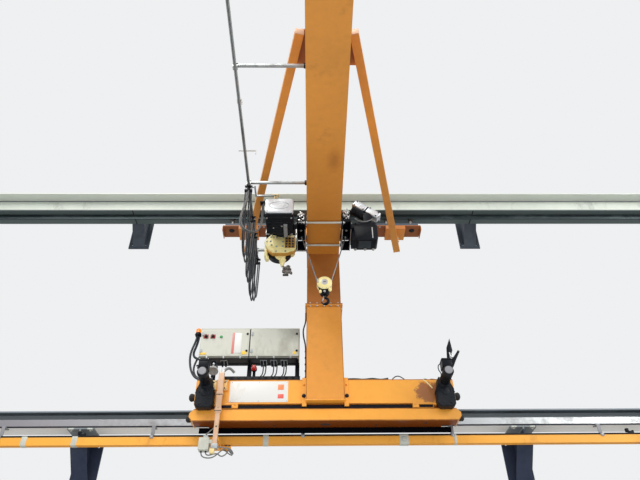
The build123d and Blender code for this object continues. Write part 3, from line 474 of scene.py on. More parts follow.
class Bench:
    """The workbench: primitives, edit-mode work on them, and joining. Lengths are millimetres."""

    @staticmethod
    def rest() -> None:
        """Leaves edit mode with nothing selected."""
        if bpy.context.mode != "OBJECT":
            bpy.ops.object.mode_set(mode="OBJECT")
        bpy.ops.object.select_all(action="DESELECT")

    def take(self, piece: Piece) -> None:
        """Makes a piece the only selected and the active one."""
        self.rest()
        piece.select_set(True)
        bpy.context.view_layer.objects.active = piece

    def settle(self, piece: Piece, place: Matrix | None = None) -> Piece:
        """Puts a piece's place, turn and size into its mesh."""
        if place is not None:
            piece.matrix_world = place
        self.take(piece)
        bpy.ops.object.transform_apply(location=True, rotation=True, scale=True)
        return piece

    @staticmethod
    def add(name: str, data: bpy.types.ID) -> Piece:
        """A new object of some data, in the scene."""
        piece = bpy.data.objects.new(name, data)
        bpy.context.collection.objects.link(piece)
        return piece

    def edit(self, piece: Piece, pick: Callable | None = None, mode: str = "FACE") -> None:
        """Opens a piece in edit mode with some of its faces or edges selected.

        Args:
            piece: The piece.
            pick: Says of a bmesh face or edge whether it is selected; None selects all.
            mode: FACE or EDGE.
        """
        self.take(piece)
        bpy.ops.object.mode_set(mode="EDIT")
        bpy.ops.mesh.select_mode(type=mode)
        bpy.ops.mesh.select_all(action="SELECT" if pick is None else "DESELECT")
        if pick is None:
            return
        mesh = bmesh.from_edit_mesh(piece.data)
        for part in mesh.faces if mode == "FACE" else mesh.edges:
            part.select_set(bool(pick(part)))
        mesh.select_flush_mode()
        bmesh.update_edit_mesh(piece.data)

    def soften(self, piece: Piece, width: float, segments: int = 2, sharp: float = 40.0) -> Piece:
        """Bevels the edges that turn by more than an angle, with a width in metres."""
        if width <= 0:
            return piece
        limit = math.radians(sharp)
        self.edit(piece, lambda e: len(e.link_faces) == 2 and e.calc_face_angle(0) > limit, "EDGE")
        bpy.ops.mesh.bevel(offset=width, segments=segments, affect="EDGES", clamp_overlap=True)
        self.rest()
        return piece

    def close(self) -> None:
        """Turns all faces outwards and leaves edit mode."""
        bpy.ops.mesh.select_all(action="SELECT")
        bpy.ops.mesh.normals_make_consistent(inside=False)
        self.rest()

    def block(self, low: Point, high: Point, bevel: float = 3, segments: int = 2) -> Piece:
        """A box between two corners with softened edges."""
        a, b = metres(low), metres(high)
        size = [max(abs(c), 1e-4) for c in b - a]
        self.rest()
        bpy.ops.mesh.primitive_cube_add(size=1, location=(a + b) / 2, scale=size)
        piece = self.settle(bpy.context.object)
        return self.soften(piece, min(bevel * MM, min(size) * 0.4), segments)

    def round(self, centre: Point, radius: float, length: float, axis: Axis = Z, bevel: float = 2,
              sides: int = 28) -> Piece:
        """A round bar about its middle."""
        self.rest()
        bpy.ops.mesh.primitive_cone_add(
            vertices=sides, radius1=radius * MM, radius2=radius * MM, depth=length * MM,
            location=metres(centre), rotation=axis.turn.to_euler())
        return self.soften(self.settle(bpy.context.object), min(bevel, length * 0.4) * MM, 2, 50.0)

    def sphere(self, centre: Point, radius: float, squash: Point, sides: int) -> Piece:
        """A ball, squashed along the axes."""
        self.rest()
        bpy.ops.mesh.primitive_uv_sphere_add(
            segments=sides, ring_count=sides // 2, radius=radius * MM, location=metres(centre), scale=squash)
        return self.settle(bpy.context.object)

    def ring(self, centre: Point, radius: float, wire: float, axis: Axis = Z, sides: int = 36) -> Piece:
        """A ring of round wire."""
        self.rest()
        bpy.ops.mesh.primitive_torus_add(
            major_radius=radius * MM, minor_radius=wire * MM, major_segments=sides, minor_segments=10,
            location=metres(centre), rotation=axis.turn.to_euler())
        return self.settle(bpy.context.object)

    def lathe(self, centre: Point, profile: Sequence[tuple[float, float]], axis: Axis = Y,
              steps: int = 32) -> Piece:
        """A turned piece.

        Args:
            centre: Where its axis starts.
            profile: (radius, height) pairs, from the axis round to the axis.
            axis: Its axis.
            steps: Steps round it.

        Returns:
            The piece, closed.
        """
        mesh = bpy.data.meshes.new("turned")
        edges = [(i, i + 1) for i in range(len(profile) - 1)]
        mesh.from_pydata([metres((r, 0, h)) for r, h in profile], edges, [])
        piece = self.add("turned", mesh)
        self.edit(piece, None, "EDGE")
        bpy.ops.mesh.spin(steps=steps, angle=math.tau, center=(0, 0, 0), axis=(0, 0, 1))
        bpy.ops.mesh.select_all(action="SELECT")
        bpy.ops.mesh.remove_doubles(threshold=1e-5)
        self.close()
        return self.settle(piece, moved(centre) @ axis.turn)

    def prism(self, outline: Sequence[tuple[float, float]], near: float, far: float, axis: Axis = Y,
              bevel: float = 2) -> Piece:
        """A plate with an outline across an axis, extruded along it.

        Args:
            outline: Pairs of the two other coordinates, in the order of their letters.
            near: Where it starts on the axis.
            far: Where it ends on the axis.
            axis: The axis that it is extruded along.
            bevel: Width of the softened edges.

        Returns:
            The piece.
        """
        at = (X, Y, Z).index(axis)
        mesh = bpy.data.meshes.new("plate")
        places = [metres((*pair[:at], near, *pair[at:])) for pair in outline]
        mesh.from_pydata(places, [], [range(len(outline))])
        piece = self.add("plate", mesh)
        self.edit(piece)
        way = metres([far - near if i == at else 0 for i in range(3)])
        bpy.ops.mesh.extrude_region_move(TRANSFORM_OT_translate={"value": way})
        self.close()
        return self.soften(piece, min(bevel, abs(far - near) * 0.4) * MM)

    def skin(self, name: str, tubes: Sequence[Sequence[Sequence[Vector]]]) -> Piece:
        """A mesh of tubes, each one over rings of points and closed at its ends."""
        mesh = bmesh.new()
        for tube in tubes:
            rings = [[mesh.verts.new(metres(point)) for point in ring] for ring in tube]
            sides = len(rings[0])
            for lower, upper in zip(rings, rings[1:]):
                for j in range(sides):
                    k = (j + 1) % sides
                    mesh.faces.new((lower[j], lower[k], upper[k], upper[j]))
            mesh.faces.new(rings[0])
            mesh.faces.new(list(reversed(rings[-1])))
        bmesh.ops.recalc_face_normals(mesh, faces=mesh.faces)
        data = bpy.data.meshes.new(name)
        mesh.to_mesh(data)
        mesh.free()
        return self.add(name, data)

    def route(self, points: Sequence[Point], thick: float, order: int = 3) -> Piece:
        """A smooth line with the points as its control points, all in metres.

        Args:
            points: The control points.
            thick: Radius of its section, or 0 for the bare line.
            order: 3 for a smooth line, 2 for straight runs.

        Returns:
            The curve.
        """
        curve = bpy.data.curves.new("route", "CURVE")
        curve.dimensions = "3D"
        spline = curve.splines.new("NURBS")
        spline.points.add(len(points) - 1)
        for place, point in zip(spline.points, points):
            place.co = (*point, 1.0)
        spline.order_u = order
        spline.use_endpoint_u = True
        spline.resolution_u = 8
        curve.bevel_depth = thick
        curve.bevel_resolution = 3
        curve.use_fill_caps = True
        return self.add("route", curve)

    def line(self, points: Sequence[Point]) -> list[Point]:
        """The points that the smooth line passes through, in metres."""
        bare = self.route(points, 0.0)
        bpy.context.view_layer.update()
        mesh = bpy.data.meshes.new_from_object(bare)
        places = [tuple(v.co) for v in mesh.vertices]
        bpy.data.meshes.remove(mesh)
        bpy.data.objects.remove(bare)
        return places

    def solid(self, curve: Piece) -> Piece:
        """A curve turned into a mesh."""
        self.take(curve)
        bpy.ops.object.convert(target="MESH")
        return bpy.context.object

    def pipe(self, points: Sequence[Point], radius: float, smooth: bool = True) -> Piece:
        """A bent bar, handle or clipped cable along some points, or straight runs between them."""
        return self.solid(self.route([metres(p) for p in points], radius * MM, 3 if smooth else 2))

    def recess(self, piece: Piece, pick: Callable, rim: float, depth: float) -> Piece:
        """Insets the faces that pick chooses and sinks them, or raises them where depth is negative."""
        self.edit(piece, pick)
        bpy.ops.mesh.inset(thickness=rim * MM, depth=-depth * MM)
        self.rest()
        return piece

    def finned(self, centre: Point, radius: float, length: float, axis: Axis, count: int,
               tall: float) -> Piece:
        """A round body with a number of cooling fins along it, each of them that tall."""
        body = self.round((0, 0, 0), radius, length, Z, 0, 2 * count)
        step = math.tau / count

        def ridge(face: bmesh.types.BMFace) -> bool:
            """Whether a face becomes a fin."""
            return abs(face.normal.z) < 0.5 and math.atan2(face.normal.y, face.normal.x) % step < step / 2

        self.edit(body, ridge)
        bpy.ops.mesh.inset(thickness=0.4 * MM, depth=tall * MM, use_individual=True)
        self.rest()
        return self.settle(body, moved(centre) @ axis.turn)

    def turn(self, piece: Piece, angle: float, axis: Point, centre: Point) -> Piece:
        """Turns a piece by an angle in degrees about a line."""
        spin = Matrix.Rotation(math.radians(angle), 4, Vector(axis))
        return self.settle(piece, moved(centre) @ spin @ moved(centre).inverted() @ piece.matrix_world)

    def squash(self, piece: Piece, factors: Point, centre: Point) -> Piece:
        """Scales a piece along the axes about a place."""
        size = Matrix.Diagonal((*factors, 1.0))
        return self.settle(piece, moved(centre) @ size @ moved(centre).inverted())

    def copies(self, source: Piece, places: Iterable[Matrix]) -> Piece:
        """One mesh of a piece that is repeated, and the source is used up."""
        gathered = bmesh.new()
        for place in places:
            single = source.data.copy()
            single.transform(place)
            gathered.from_mesh(single)
            bpy.data.meshes.remove(single)
        old, source.data = source.data, bpy.data.meshes.new("copies")
        gathered.to_mesh(source.data)
        gathered.free()
        bpy.data.meshes.remove(old)
        return source

    def spread(self, source: Piece, moves: Iterable[Point]) -> Piece:
        """A piece repeated at several shifts."""
        return self.copies(source, [moved(m) for m in moves])

    def join(self, *pieces: Piece) -> Piece:
        """Several pieces as one."""
        self.rest()
        for piece in pieces:
            piece.select_set(True)
        bpy.context.view_layer.objects.active = pieces[0]
        if len(pieces) > 1:
            bpy.ops.object.join()
        return bpy.context.object

    def pair(self, *pieces: Piece) -> Piece:
        """Pieces and their mirror images across the crane's middle, as one."""
        source = self.join(*pieces)
        image = source.data.copy()
        image.transform(Matrix.Scale(-1, 4, (1, 0, 0)))
        image.flip_normals()
        both = bmesh.new()
        both.from_mesh(source.data)
        both.from_mesh(image)
        both.to_mesh(source.data)
        both.free()
        bpy.data.meshes.remove(image)
        return source

    def bolt(self, size: float, axis: Axis = Y, washer: bool = True) -> Piece:
        """A hexagon head on its washer at the origin; its top faces -Y, +X or +Z.

        Args:
            size: Diameter of the thread.
            axis: The axis that it stands along.
            washer: Whether a washer lies under it.

        Returns:
            The piece.
        """
        tall = 0.65 * size
        base = 0.12 * size if washer else 0.0
        head = self.round((0, 0, base + tall / 2), 0.95 * size, tall, bevel=0, sides=6)
        self.edit(head, lambda f: f.normal.z > 0.9)
        bpy.ops.mesh.inset(thickness=0.14 * size * MM, depth=0.07 * size * MM)
        parts = [head]
        if washer:
            parts.append(self.round((0, 0, base / 2), 1.15 * size, base, bevel=0, sides=16))
        thread = self.round((0, 0, base + tall + 0.12 * size), 0.42 * size, 0.3 * size, bevel=0, sides=10)
        return self.settle(self.join(*parts, thread), axis.turn)

    def bolts(self, size: float, places: Iterable[Point], axis: Axis = Y, washer: bool = True) -> Piece:
        """A bolt at each place."""
        return self.spread(self.bolt(size, axis, washer), places)


@dataclass
class Assembly:
    """A sub-assembly: what its pieces are made with, and the body and origin they have."""

    bench: Bench
    palette: Palette
    body: str = "crane"
    origin: float = CRANE_X

    PARTS = ()

    def build(self) -> None:
        """Builds every group of the assembly, in order."""
        for part in self.PARTS:
            part(self)

    def fit(self, pieces: Piece | Sequence[Piece], name: str, finish: str, *replaced: str,
            body: str = "", smooth: float = 35.0, patches: Sequence[Patch] = ()) -> Piece:
        """Names and paints a piece, makes it ride and hides the nodes that it stands for.

        Args:
            pieces: The piece, or the pieces that are joined to it.
            name: Its name.
            finish: A key of FINISHES.
            replaced: Nodes that it stands for.
            body: The body that it rides on; the assembly's own where empty.
            smooth: Edges that turn less than this angle in degrees are shaded smooth.
            patches: Places where its paint differs or light or shade is painted.

        Returns:
            The piece, in the frame.
        """
        piece = self.bench.join(*pieces) if isinstance(pieces, (list, tuple)) else pieces
        piece.data.transform(Matrix.Translation((self.origin, 0, 0)))
        piece.name = piece.data.name = name
        self.paint(piece, finish, patches, smooth)
        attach(piece, body or self.body)
        if replaced:
            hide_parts(*replaced)
        log.info("%s: %s faces, %s", name, len(piece.data.polygons), finish)
        return piece

    def paint(self, piece: Piece, finish: str, patches: Sequence[Patch] = (), smooth: float = 0.0) -> None:
        """Puts a finish and its slot on a piece, and shades a mesh smooth up to an angle."""
        piece.data.materials.clear()
        piece.data.materials.append(self.palette.material(finish, patches))
        if smooth:
            self.bench.take(piece)
            bpy.ops.object.shade_smooth_by_angle(angle=math.radians(smooth))

    def lead(self, name: str, points: Sequence[Point], radius: float, finish: str = "grey_sheath") -> None:
        """A free cable whose two ends go into the object.

        Args:
            name: Its name.
            points: The control points of its route.
            radius: Radius of the cable.
            finish: A key of FINISHES.
        """
        places = [(self.origin + x * MM, y * MM, z * MM) for x, y, z in points]
        path = self.bench.line(places)
        cable = self.bench.route(places, radius * MM)
        cable.name = name
        self.paint(cable, finish)
        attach(cable, self.body)

    def dress(self, finish: str, *nodes: str, patches: Sequence[Patch] = ()) -> None:
        """Gives a finish to nodes whose shape stays."""
        for name in nodes:
            node = bpy.data.objects[name]
            node.data.materials.clear()
            node.data.materials.append(self.palette.material(finish, patches))
            log.info("%s: frame piece, %s", name, finish)


@dataclass
class TravelDrives(Assembly):
    """The gearboxes, motors and buffers on the ends of the crossbeam.

    Attributes:
        x: The right drive's place.
        face: Front of the crossbeam.
        case_depth: Depth of a gear case.
        case_half: Half its width.
        case_low: Its underside.
        case_high: Its top.
        cap_z: Height of the wheel shaft's cap.
        motor_z: Height of the motor.
        motor_radius: Radius over the fins.
        motor_length: Length of the motor.
    """

    x: float = 1330
    face: float = -750
    case_depth: float = 100
    case_half: float = 102.5
    case_low: float = 365
    case_high: float = 705
    cap_z: float = 530
    motor_z: float = 645
    motor_radius: float = 60
    motor_length: float = 300

    def gear_cases(self) -> None:
        """Cast cases with a raised cover, ribs, bolts and a round cap."""
        b = self.bench
        front = self.face - self.case_depth
        cut = self.case_half / 3
        low, high, half = self.case_low, self.case_high, self.case_half
        right = [(half - cut, low), (half, low + cut), (half, low + 200), (half - 28, low + 270),
            (half - 28, high - 22), (half - 45, high)]
        outline = [(self.x + x, z) for x, z in right] + [(self.x - x, z) for x, z in reversed(right)]
        case = b.prism(outline, self.face, front + 12, Y, 6)
        b.recess(case, lambda f: f.normal.y < -0.9, 12, -12)
        ribs = [b.block((self.x - half - 6, self.face - 90, z), (self.x + half + 6, self.face - 4, z + 8),
            2) for z in (low + 70, low + 170)]
        cap = b.lathe((self.x, front + 12, self.cap_z),
            [(0, 26), (20, 28), (38, 24), (44, 14), (52, 13), (52, 0), (0, 0)])
        collar = b.lathe((self.x, front + 12, self.motor_z), [(0, 22), (58, 22), (64, 16), (64, 0), (0, 0)])
        plug = b.round((self.x + half * 0.5, front - 4, low + 35), 11, 20, Y, 2, 6)
        breather = b.round((self.x - half * 0.4, self.face - 50, high + 12), 10, 24, Z, 3, 12)
        self.fit(b.pair(case, *ribs, cap, collar, plug, breather), "gear_cases",
            "dark_iron", "drive_gearboxes")
        ring = []
        for i in range(10):
            way = math.tau * i / 10
            ring.append((self.x + 62 * math.sin(way), front + 1,
                (low + high) / 2 - 30 + 118 * math.cos(way)))
        self.fit(b.pair(b.bolts(10, ring)), "gear_case_bolts", "dark_iron")

    def motors(self) -> None:
        """Finned motors with a fan cowl, a pale end cap and a terminal box on top."""
        b = self.bench
        start = self.face - self.case_depth - 12
        end = self.face - self.case_depth - self.motor_length
        cowl = 75
        length = abs(end - start) - cowl
        body = b.finned((self.x, start - length / 2, self.motor_z),
            self.motor_radius - 12, length, Y, 20, 10)
        shell = b.lathe((self.x, end + cowl, self.motor_z),
            [(0, 66), (40, 66), (52, 58), (60, 46), (60, 0), (0, 0)])
        flange = b.round((self.x, start - 6, self.motor_z), 64, 14, Y, 3, 36)
        self.fit(b.pair(body, shell, flange), "travel_motors", "dark_iron", "drive_motors")
        cap = b.lathe((self.x, end + 10, self.motor_z),
            [(0, 9), (36, 10), (42, 9), (44, 5), (44, 0), (0, 0)])
        self.fit(b.pair(cap), "motor_end_caps", "cap_grey")
        slots = b.block((-3, -4, 20), (3, 2, 36), 1)
        turns = [moved((self.x, end + 5, self.motor_z))
            @ Matrix.Rotation(math.tau * i / 12, 4, "Y") for i in range(12)]
        self.fit(b.pair(b.copies(slots, turns)), "cowl_slots", "cabinet_shadow")
        x, z = self.x, self.motor_z + 52
        box = b.block((x - 54, end + 30, z), (x + 54, end + 160, z + 82), 8, 3)
        lid = b.block((x - 57, end + 27, z + 80), (x + 57, end + 163, z + 103), 8, 3)
        b.recess(lid, lambda f: f.normal.z > 0.9, 14, 3)
        neck = b.block((x - 36, end + 50, z - 20), (x + 36, end + 140, z + 4), 4)
        gland = b.spread(b.round((0, 0, 0), 11, 30, X, 3, 6),
            [(x + 66, end + 70, z + 40), (x + 66, end + 120, z + 40)])
        self.fit(b.pair(box, lid, neck, gland), "terminal_boxes", "black_paint")
        screws = [(x + dx, end + dy, z + 103) for dx in (-46, 46) for dy in (38, 152)]
        self.fit(b.pair(b.bolts(7, screws, Z, False)), "terminal_box_screws", "zinc")

    def buffers(self) -> None:
        """Domed rubber buffers on steel plates."""
        b = self.bench
        big = b.lathe((1450, -610, 580.3), [(0, 95), (22, 93), (38, 84), (46, 68), (43, 50), (36, 34),
            (40, 18), (50, 12), (50, 0), (0, 0)], X)
        small = b.lathe((1490, -638.5, 314.5),
            [(0, 50), (20, 48), (32, 40), (38, 26), (34, 14), (38, 7), (38, 0), (0, 0)], X)
        self.fit(b.pair(big, small), "rubber_buffers", "rubber", "buffers", smooth=60)
        plate = b.block((1449, -680, 512), (1456, -540, 650), 2)
        heads = b.bolts(10, [(1456, y, z) for y in (-668, -552) for z in (524, 638)], X)
        self.fit(b.pair(plate), "buffer_plates", "black_paint")
        self.fit(b.pair(heads), "buffer_bolts", "zinc")

    PARTS = (gear_cases, motors, buffers)


@dataclass
class CraneFrame(Assembly):
    """Welds, bolts, stiffeners and covers on the crane's boxes.

    Attributes:
        half: Half the post's and the jib's width.
        web: From the middle of the jib to the outside of its webs.
        jib_low: Underside of the jib.
        jib_high: Top of the jib.
        jib_tip: Tip of the jib.
        jib_rear: Rear end of the jib.
        flange_z: Where the two lengths of the post meet.
        post_front: Front of the post.
        post_back: Back of the post.
        flange: Thickness of the jib's flanges.
    """

    half: float = 210
    web: float = 140
    jib_low: float = 2507
    jib_high: float = 3047
    jib_tip: float = -6000
    jib_rear: float = -270
    flange_z: float = 1704
    post_front: float = -800
    post_back: float = -470
    flange: float = 20

    def bead(self, points: Sequence[Point], size: float = 6) -> Piece:
        """A weld bead along straight runs."""
        return self.bench.pipe(points, size, smooth=False)

    def jib(self) -> None:
        """Weld beads, outer stiffeners and a bolted end plate on the jib."""
        b = self.bench
        beads = []
        for z in (self.jib_low + self.flange, self.jib_high - self.flange):
            x = self.web
            beads.append(self.bead([(x, self.jib_rear, z), (x, self.jib_tip, z)], 7))
        self.fit(b.pair(*beads), "jib_welds", "weld_bead")
        rib = b.block((self.web, -6, self.jib_low + self.flange),
            (self.half - 12, 6, self.jib_high - self.flange), 2)
        places = [(0, y, 0) for y in (-560, -5200, -5600)]
        high = b.block((self.web, -6, self.jib_high - 160),
            (self.half - 12, 6, self.jib_high - self.flange), 2)
        upper = [(0, -1350 - 750 * i, 0) for i in range(5)]
        self.fit(b.pair(b.spread(rib, places), b.spread(high, upper)), "jib_stiffeners", "crane_paint_darkened_for_shade")
        tip = self.jib_tip - 15
        cover = b.block((-170, tip - 8, self.jib_low + 60), (170, tip, self.jib_high - 60), 3)
        b.recess(cover, lambda f: f.normal.y < -0.9, 30, 3)
        self.fit(cover, "jib_end_cover", "crane_paint")
        heads = [(x, tip - 8, z) for x in (-155, 155)
            for z in (self.jib_low + 80, 2777, self.jib_high - 80)]
        self.fit(b.bolts(12, heads), "jib_end_bolts", "zinc")
        eye = b.prism([(-50, 0), (50, 0), (35, 60), (15, 85), (-15, 85), (-35, 60)], -10, 10, X, 3)
        self.fit(b.spread(eye, [(0, y, self.jib_high) for y in (-1000, -5400)]),
            "lifting_lugs", "crane_paint_darkened_for_shade")

    def post(self) -> None:
        """Flange bolts, skirt and welds on the post."""
        b = self.bench
        lip = self.half + 10
        under = self.flange_z - 15
        front = [(x, self.post_front - 10, under) for x in (-170, -85, 0, 85, 170)]
        sides = [(s * lip, y, under) for s in (-1, 1) for y in (-740, -635, -530)]
        heads = b.bolts(12, front + sides, DOWN)
        tops = b.bolts(12, [(x, y, self.flange_z + 15) for x, y, _ in front + sides], Z)
        self.fit([heads, tops], "post_flange_bolts", "zinc")
        f, k = self.post_front, self.post_back
        loop = [(-self.half, f), (self.half, f), (self.half, k), (-self.half, k), (-self.half, f)]
        beads = [self.bead([(x, y, z) for x, y in loop], 5) for z in (467, self.jib_low)]
        seams = [self.bead([(s * self.half, f + 2, 470), (s * self.half, f + 2, 1680)], 4) for s in (-1, 1)]
        self.fit([*beads, *seams], "post_welds", "weld_bead")
        gusset = b.prism([(-300, 2507), (-466, 2507), (-466, 2340)], self.half - 12, self.half - 30, X, 2)
        self.fit(b.pair(gusset), "post_gussets", "crane_paint_darkened_for_shade")
        self.fit(b.block((-225, f - 12, 455), (225, k + 12, 467), 3), "post_sole", "crane_paint")
        left = -self.half - 10
        run = [(left, -690, 735), (left, -690, 1020), (left - 4, -700, 1200),
            (left - 30, -715, 1300), (left - 36, -720, 1400), (left - 12, -712, 1480),
            (left - 2, -700, 1560), (left - 4, -690, 1660)]
        self.fit(b.pipe(run, 9), "post_cable", "cable_sheath", smooth=60)
        clip = b.block((left - 14, -702, -8), (left + 10, -678, 8), 2)
        self.fit(b.spread(clip, [(0, 0, 780 + 85 * i) for i in range(5)]), "post_clips", "black_paint")

    def crossbeam(self) -> None:
        """Lug bolts, foot ledges with black sheets of painted shadow, cables, a strut, end covers and welds
        on the crossbeam.
        """
        b = self.bench
        low, high, face = 441, 724, -750
        lug = b.bolts(20, [(240, face - 15, low + 0.3 * (high - low))])
        self.fit(b.pair(lug), "lug_bolts", "dark_iron")
        strip = b.block((965, face - 10, low - 14), (1265, face + 10, low + 4), 3)
        pad = b.block((965, face - 8, low - 50), (1035, face + 20, low - 10), 3)
        self.fit(b.pair(strip, pad), "foot_ledges", "crane_paint")
        slot = b.block((1038, face - 1.2, low - 46), (1190, face + 2, low - 16), 0)
        gap = b.block((-962, face + 14, low - 50), (962, face + 16, low - 10), 0)
        self.fit([b.pair(slot), gap], "foot_shadows", "black_paint")
        runs = []
        for i, (start, end, lift) in enumerate(((260, 730, 34), (300, 640, 20), (1120, 1300, 34))):
            count = 9
            points = [(start + (end - start) * k / (count - 1), -690 + 12 * i + 6 * math.sin(2.1 * k + i),
                high + lift + 6 * math.sin(1.7 * k + 2.4 * i)) for k in range(count)]
            runs.append(b.pipe(points, 13))
        hump = [(x, -700, high + z) for x, z in ((760, 12), (790, 50), (840, 74), (890, 50), (930, 12))]
        runs.append(b.pipe(hump, 6))
        self.fit(runs, "beam_cables", "cable_sheath", smooth=60)
        rod = b.pipe([(1115, -765, high - 10), (1160, -790, high - 60), (1200, -800, high - 130)], 8)
        self.fit(rod, "drive_strut", "ear_paint")
        x = 1450
        end = b.block((x - 4, face + 4, low + 4), (x + 6, -474, high - 4), 2)
        self.fit(b.pair(end), "crossbeam_ends", "crane_paint")
        runs = [self.bead([(210, y, z), (x, y, z)], 4) for y in (face + 1, -471) for z in (low, high)]
        self.fit(b.pair(*runs), "crossbeam_welds", "weld_bead")
        feet = b.bolts(14, [(1110 + dx, face - 1, low - 9) for dx in (-115, 115)])
        self.fit(b.pair(feet), "foot_bolts", "crane_paint")

    def carriage(self) -> None:
        """Drain plugs, a black sheet of painted shade, welds and pin caps on the lower carriage."""
        b = self.bench
        low = 249
        plug = b.round((0, -640, low - 1.5), 34, 5, Z, 1, 32)
        oval = b.squash(plug, (1.7, 0.62, 1), (0, -640, 0))
        holes = [(1102, -665, 16), (-1262, -700, 8), (-1190, -700, 8), (-1128, -700, 8),
            (560, -610, 11), (-560, -610, 11)]
        dots = [b.round((x, y, low - 1.5), r, 5, Z, 1, 20) for x, y, r in holes]
        self.fit([oval, *dots], "carriage_plugs", "cabinet_shadow")
        # A near-black sheet hanging below the carriage's back edge is painted shade: it stands in for the
        # shadow on the lower beam beneath the crane.
        self.fit(b.block((-1400, -551, 187), (1400, -545, low + 1), 1), "carriage_shadow_sheet", "shadow_sheet_black")
        runs = [self.bead([(-1445, y, z), (1445, y, z)], 4)
            for y, z in ((-750, 380), (-528, 380), (-750, 249))]
        self.fit(runs, "carriage_welds", "weld_bead")
        caps = b.lathe((1370, -520.3, 380),
            [(0, 14), (16, 14), (20, 10), (20, 4), (34, 3), (34, 0), (0, 0)], Z, 24)
        self.fit(b.pair(caps), "roller_pin_caps", "zinc")

    def upper_carriage(self) -> None:
        """Gussets at the neck, roller hubs, ring caps and plate bolts."""
        b = self.bench
        under, front, back = 3262, -497, -249
        gusset = b.prism([(180, 3262), (400, 3262), (180, 3070)], -386, -374, Y, 2)
        b.spread(gusset, [(0, dy, 0) for dy in (-85, 75)])
        self.fit(b.pair(gusset), "neck_gussets", "crane_paint_darkened_for_shade")
        heads = [(140 * i, front + 18, under) for i in range(2, 7)]
        self.fit(b.pair(b.bolts(12, heads, DOWN)), "upper_plate_bolts", "zinc")
        cap = b.lathe((0, 0, under), [(0, -16), (14, -16), (18, -10), (34, -10), (40, -4),
            (40, 0), (0, 0)], Z, 28)
        b.spread(cap, [(x, -396, 0) for x in (1312, 955)])
        self.fit(b.pair(cap), "roller_ring_caps", "dark_iron")
        hub = b.lathe((0, 0, 3509), [(0, 5), (14, 5), (18, 2), (18, -2), (0, -2)], Z, 20)
        b.spread(hub, [(x, -395.7, 0) for x in (1312, 955)])
        self.fit(b.pair(hub), "roller_hubs", "zinc")
        ends = b.block((1430, front + 20, under - 50), (1440, back - 20, under + 15), 3)
        self.fit(b.pair(ends), "upper_plate_ends", "crane_paint_painted_shade")

    def braces(self) -> None:
        """End caps, step plates and bolts on the two braces."""
        b = self.bench
        tip = Vector((271, -3735, 3002))
        end = Vector((1078, -280, 3002))
        way = (end - tip).normalized()
        turn = math.degrees(math.atan2(-way.x, way.y))
        for name, place, sign in (("brace_tip_caps", tip, -1), ("brace_end_caps", end, 1)):
            cap = b.block((-47, 0, -47), (47, 8, 47), 3)
            b.turn(cap, turn, (0, 0, 1), (0, 0, 0))
            b.spread(cap, [place + way * (0 if sign > 0 else -8)])
            self.fit(b.pair(cap), name, "arm_paint")
        heads = [(x, y, 3059) for x in (60, 180, 270) for y in (-3690, -3370)]
        self.fit(b.pair(b.bolts(14, heads, Z)), "cross_plate_bolts", "zinc")
        step = b.block((925, -505, 3196), (1203, -497, 3268), 3)
        self.fit(b.pair(step), "step_plates", "crane_paint_painted_shade")
        tie = [(1063 + dx, -350, z) for dx in (-45, 45) for z in (3090, 3150)]
        self.fit(b.pair(b.bolts(12, tie)), "tie_bolts", "zinc")

    PARTS = (jib, post, crossbeam, carriage, upper_carriage, braces)


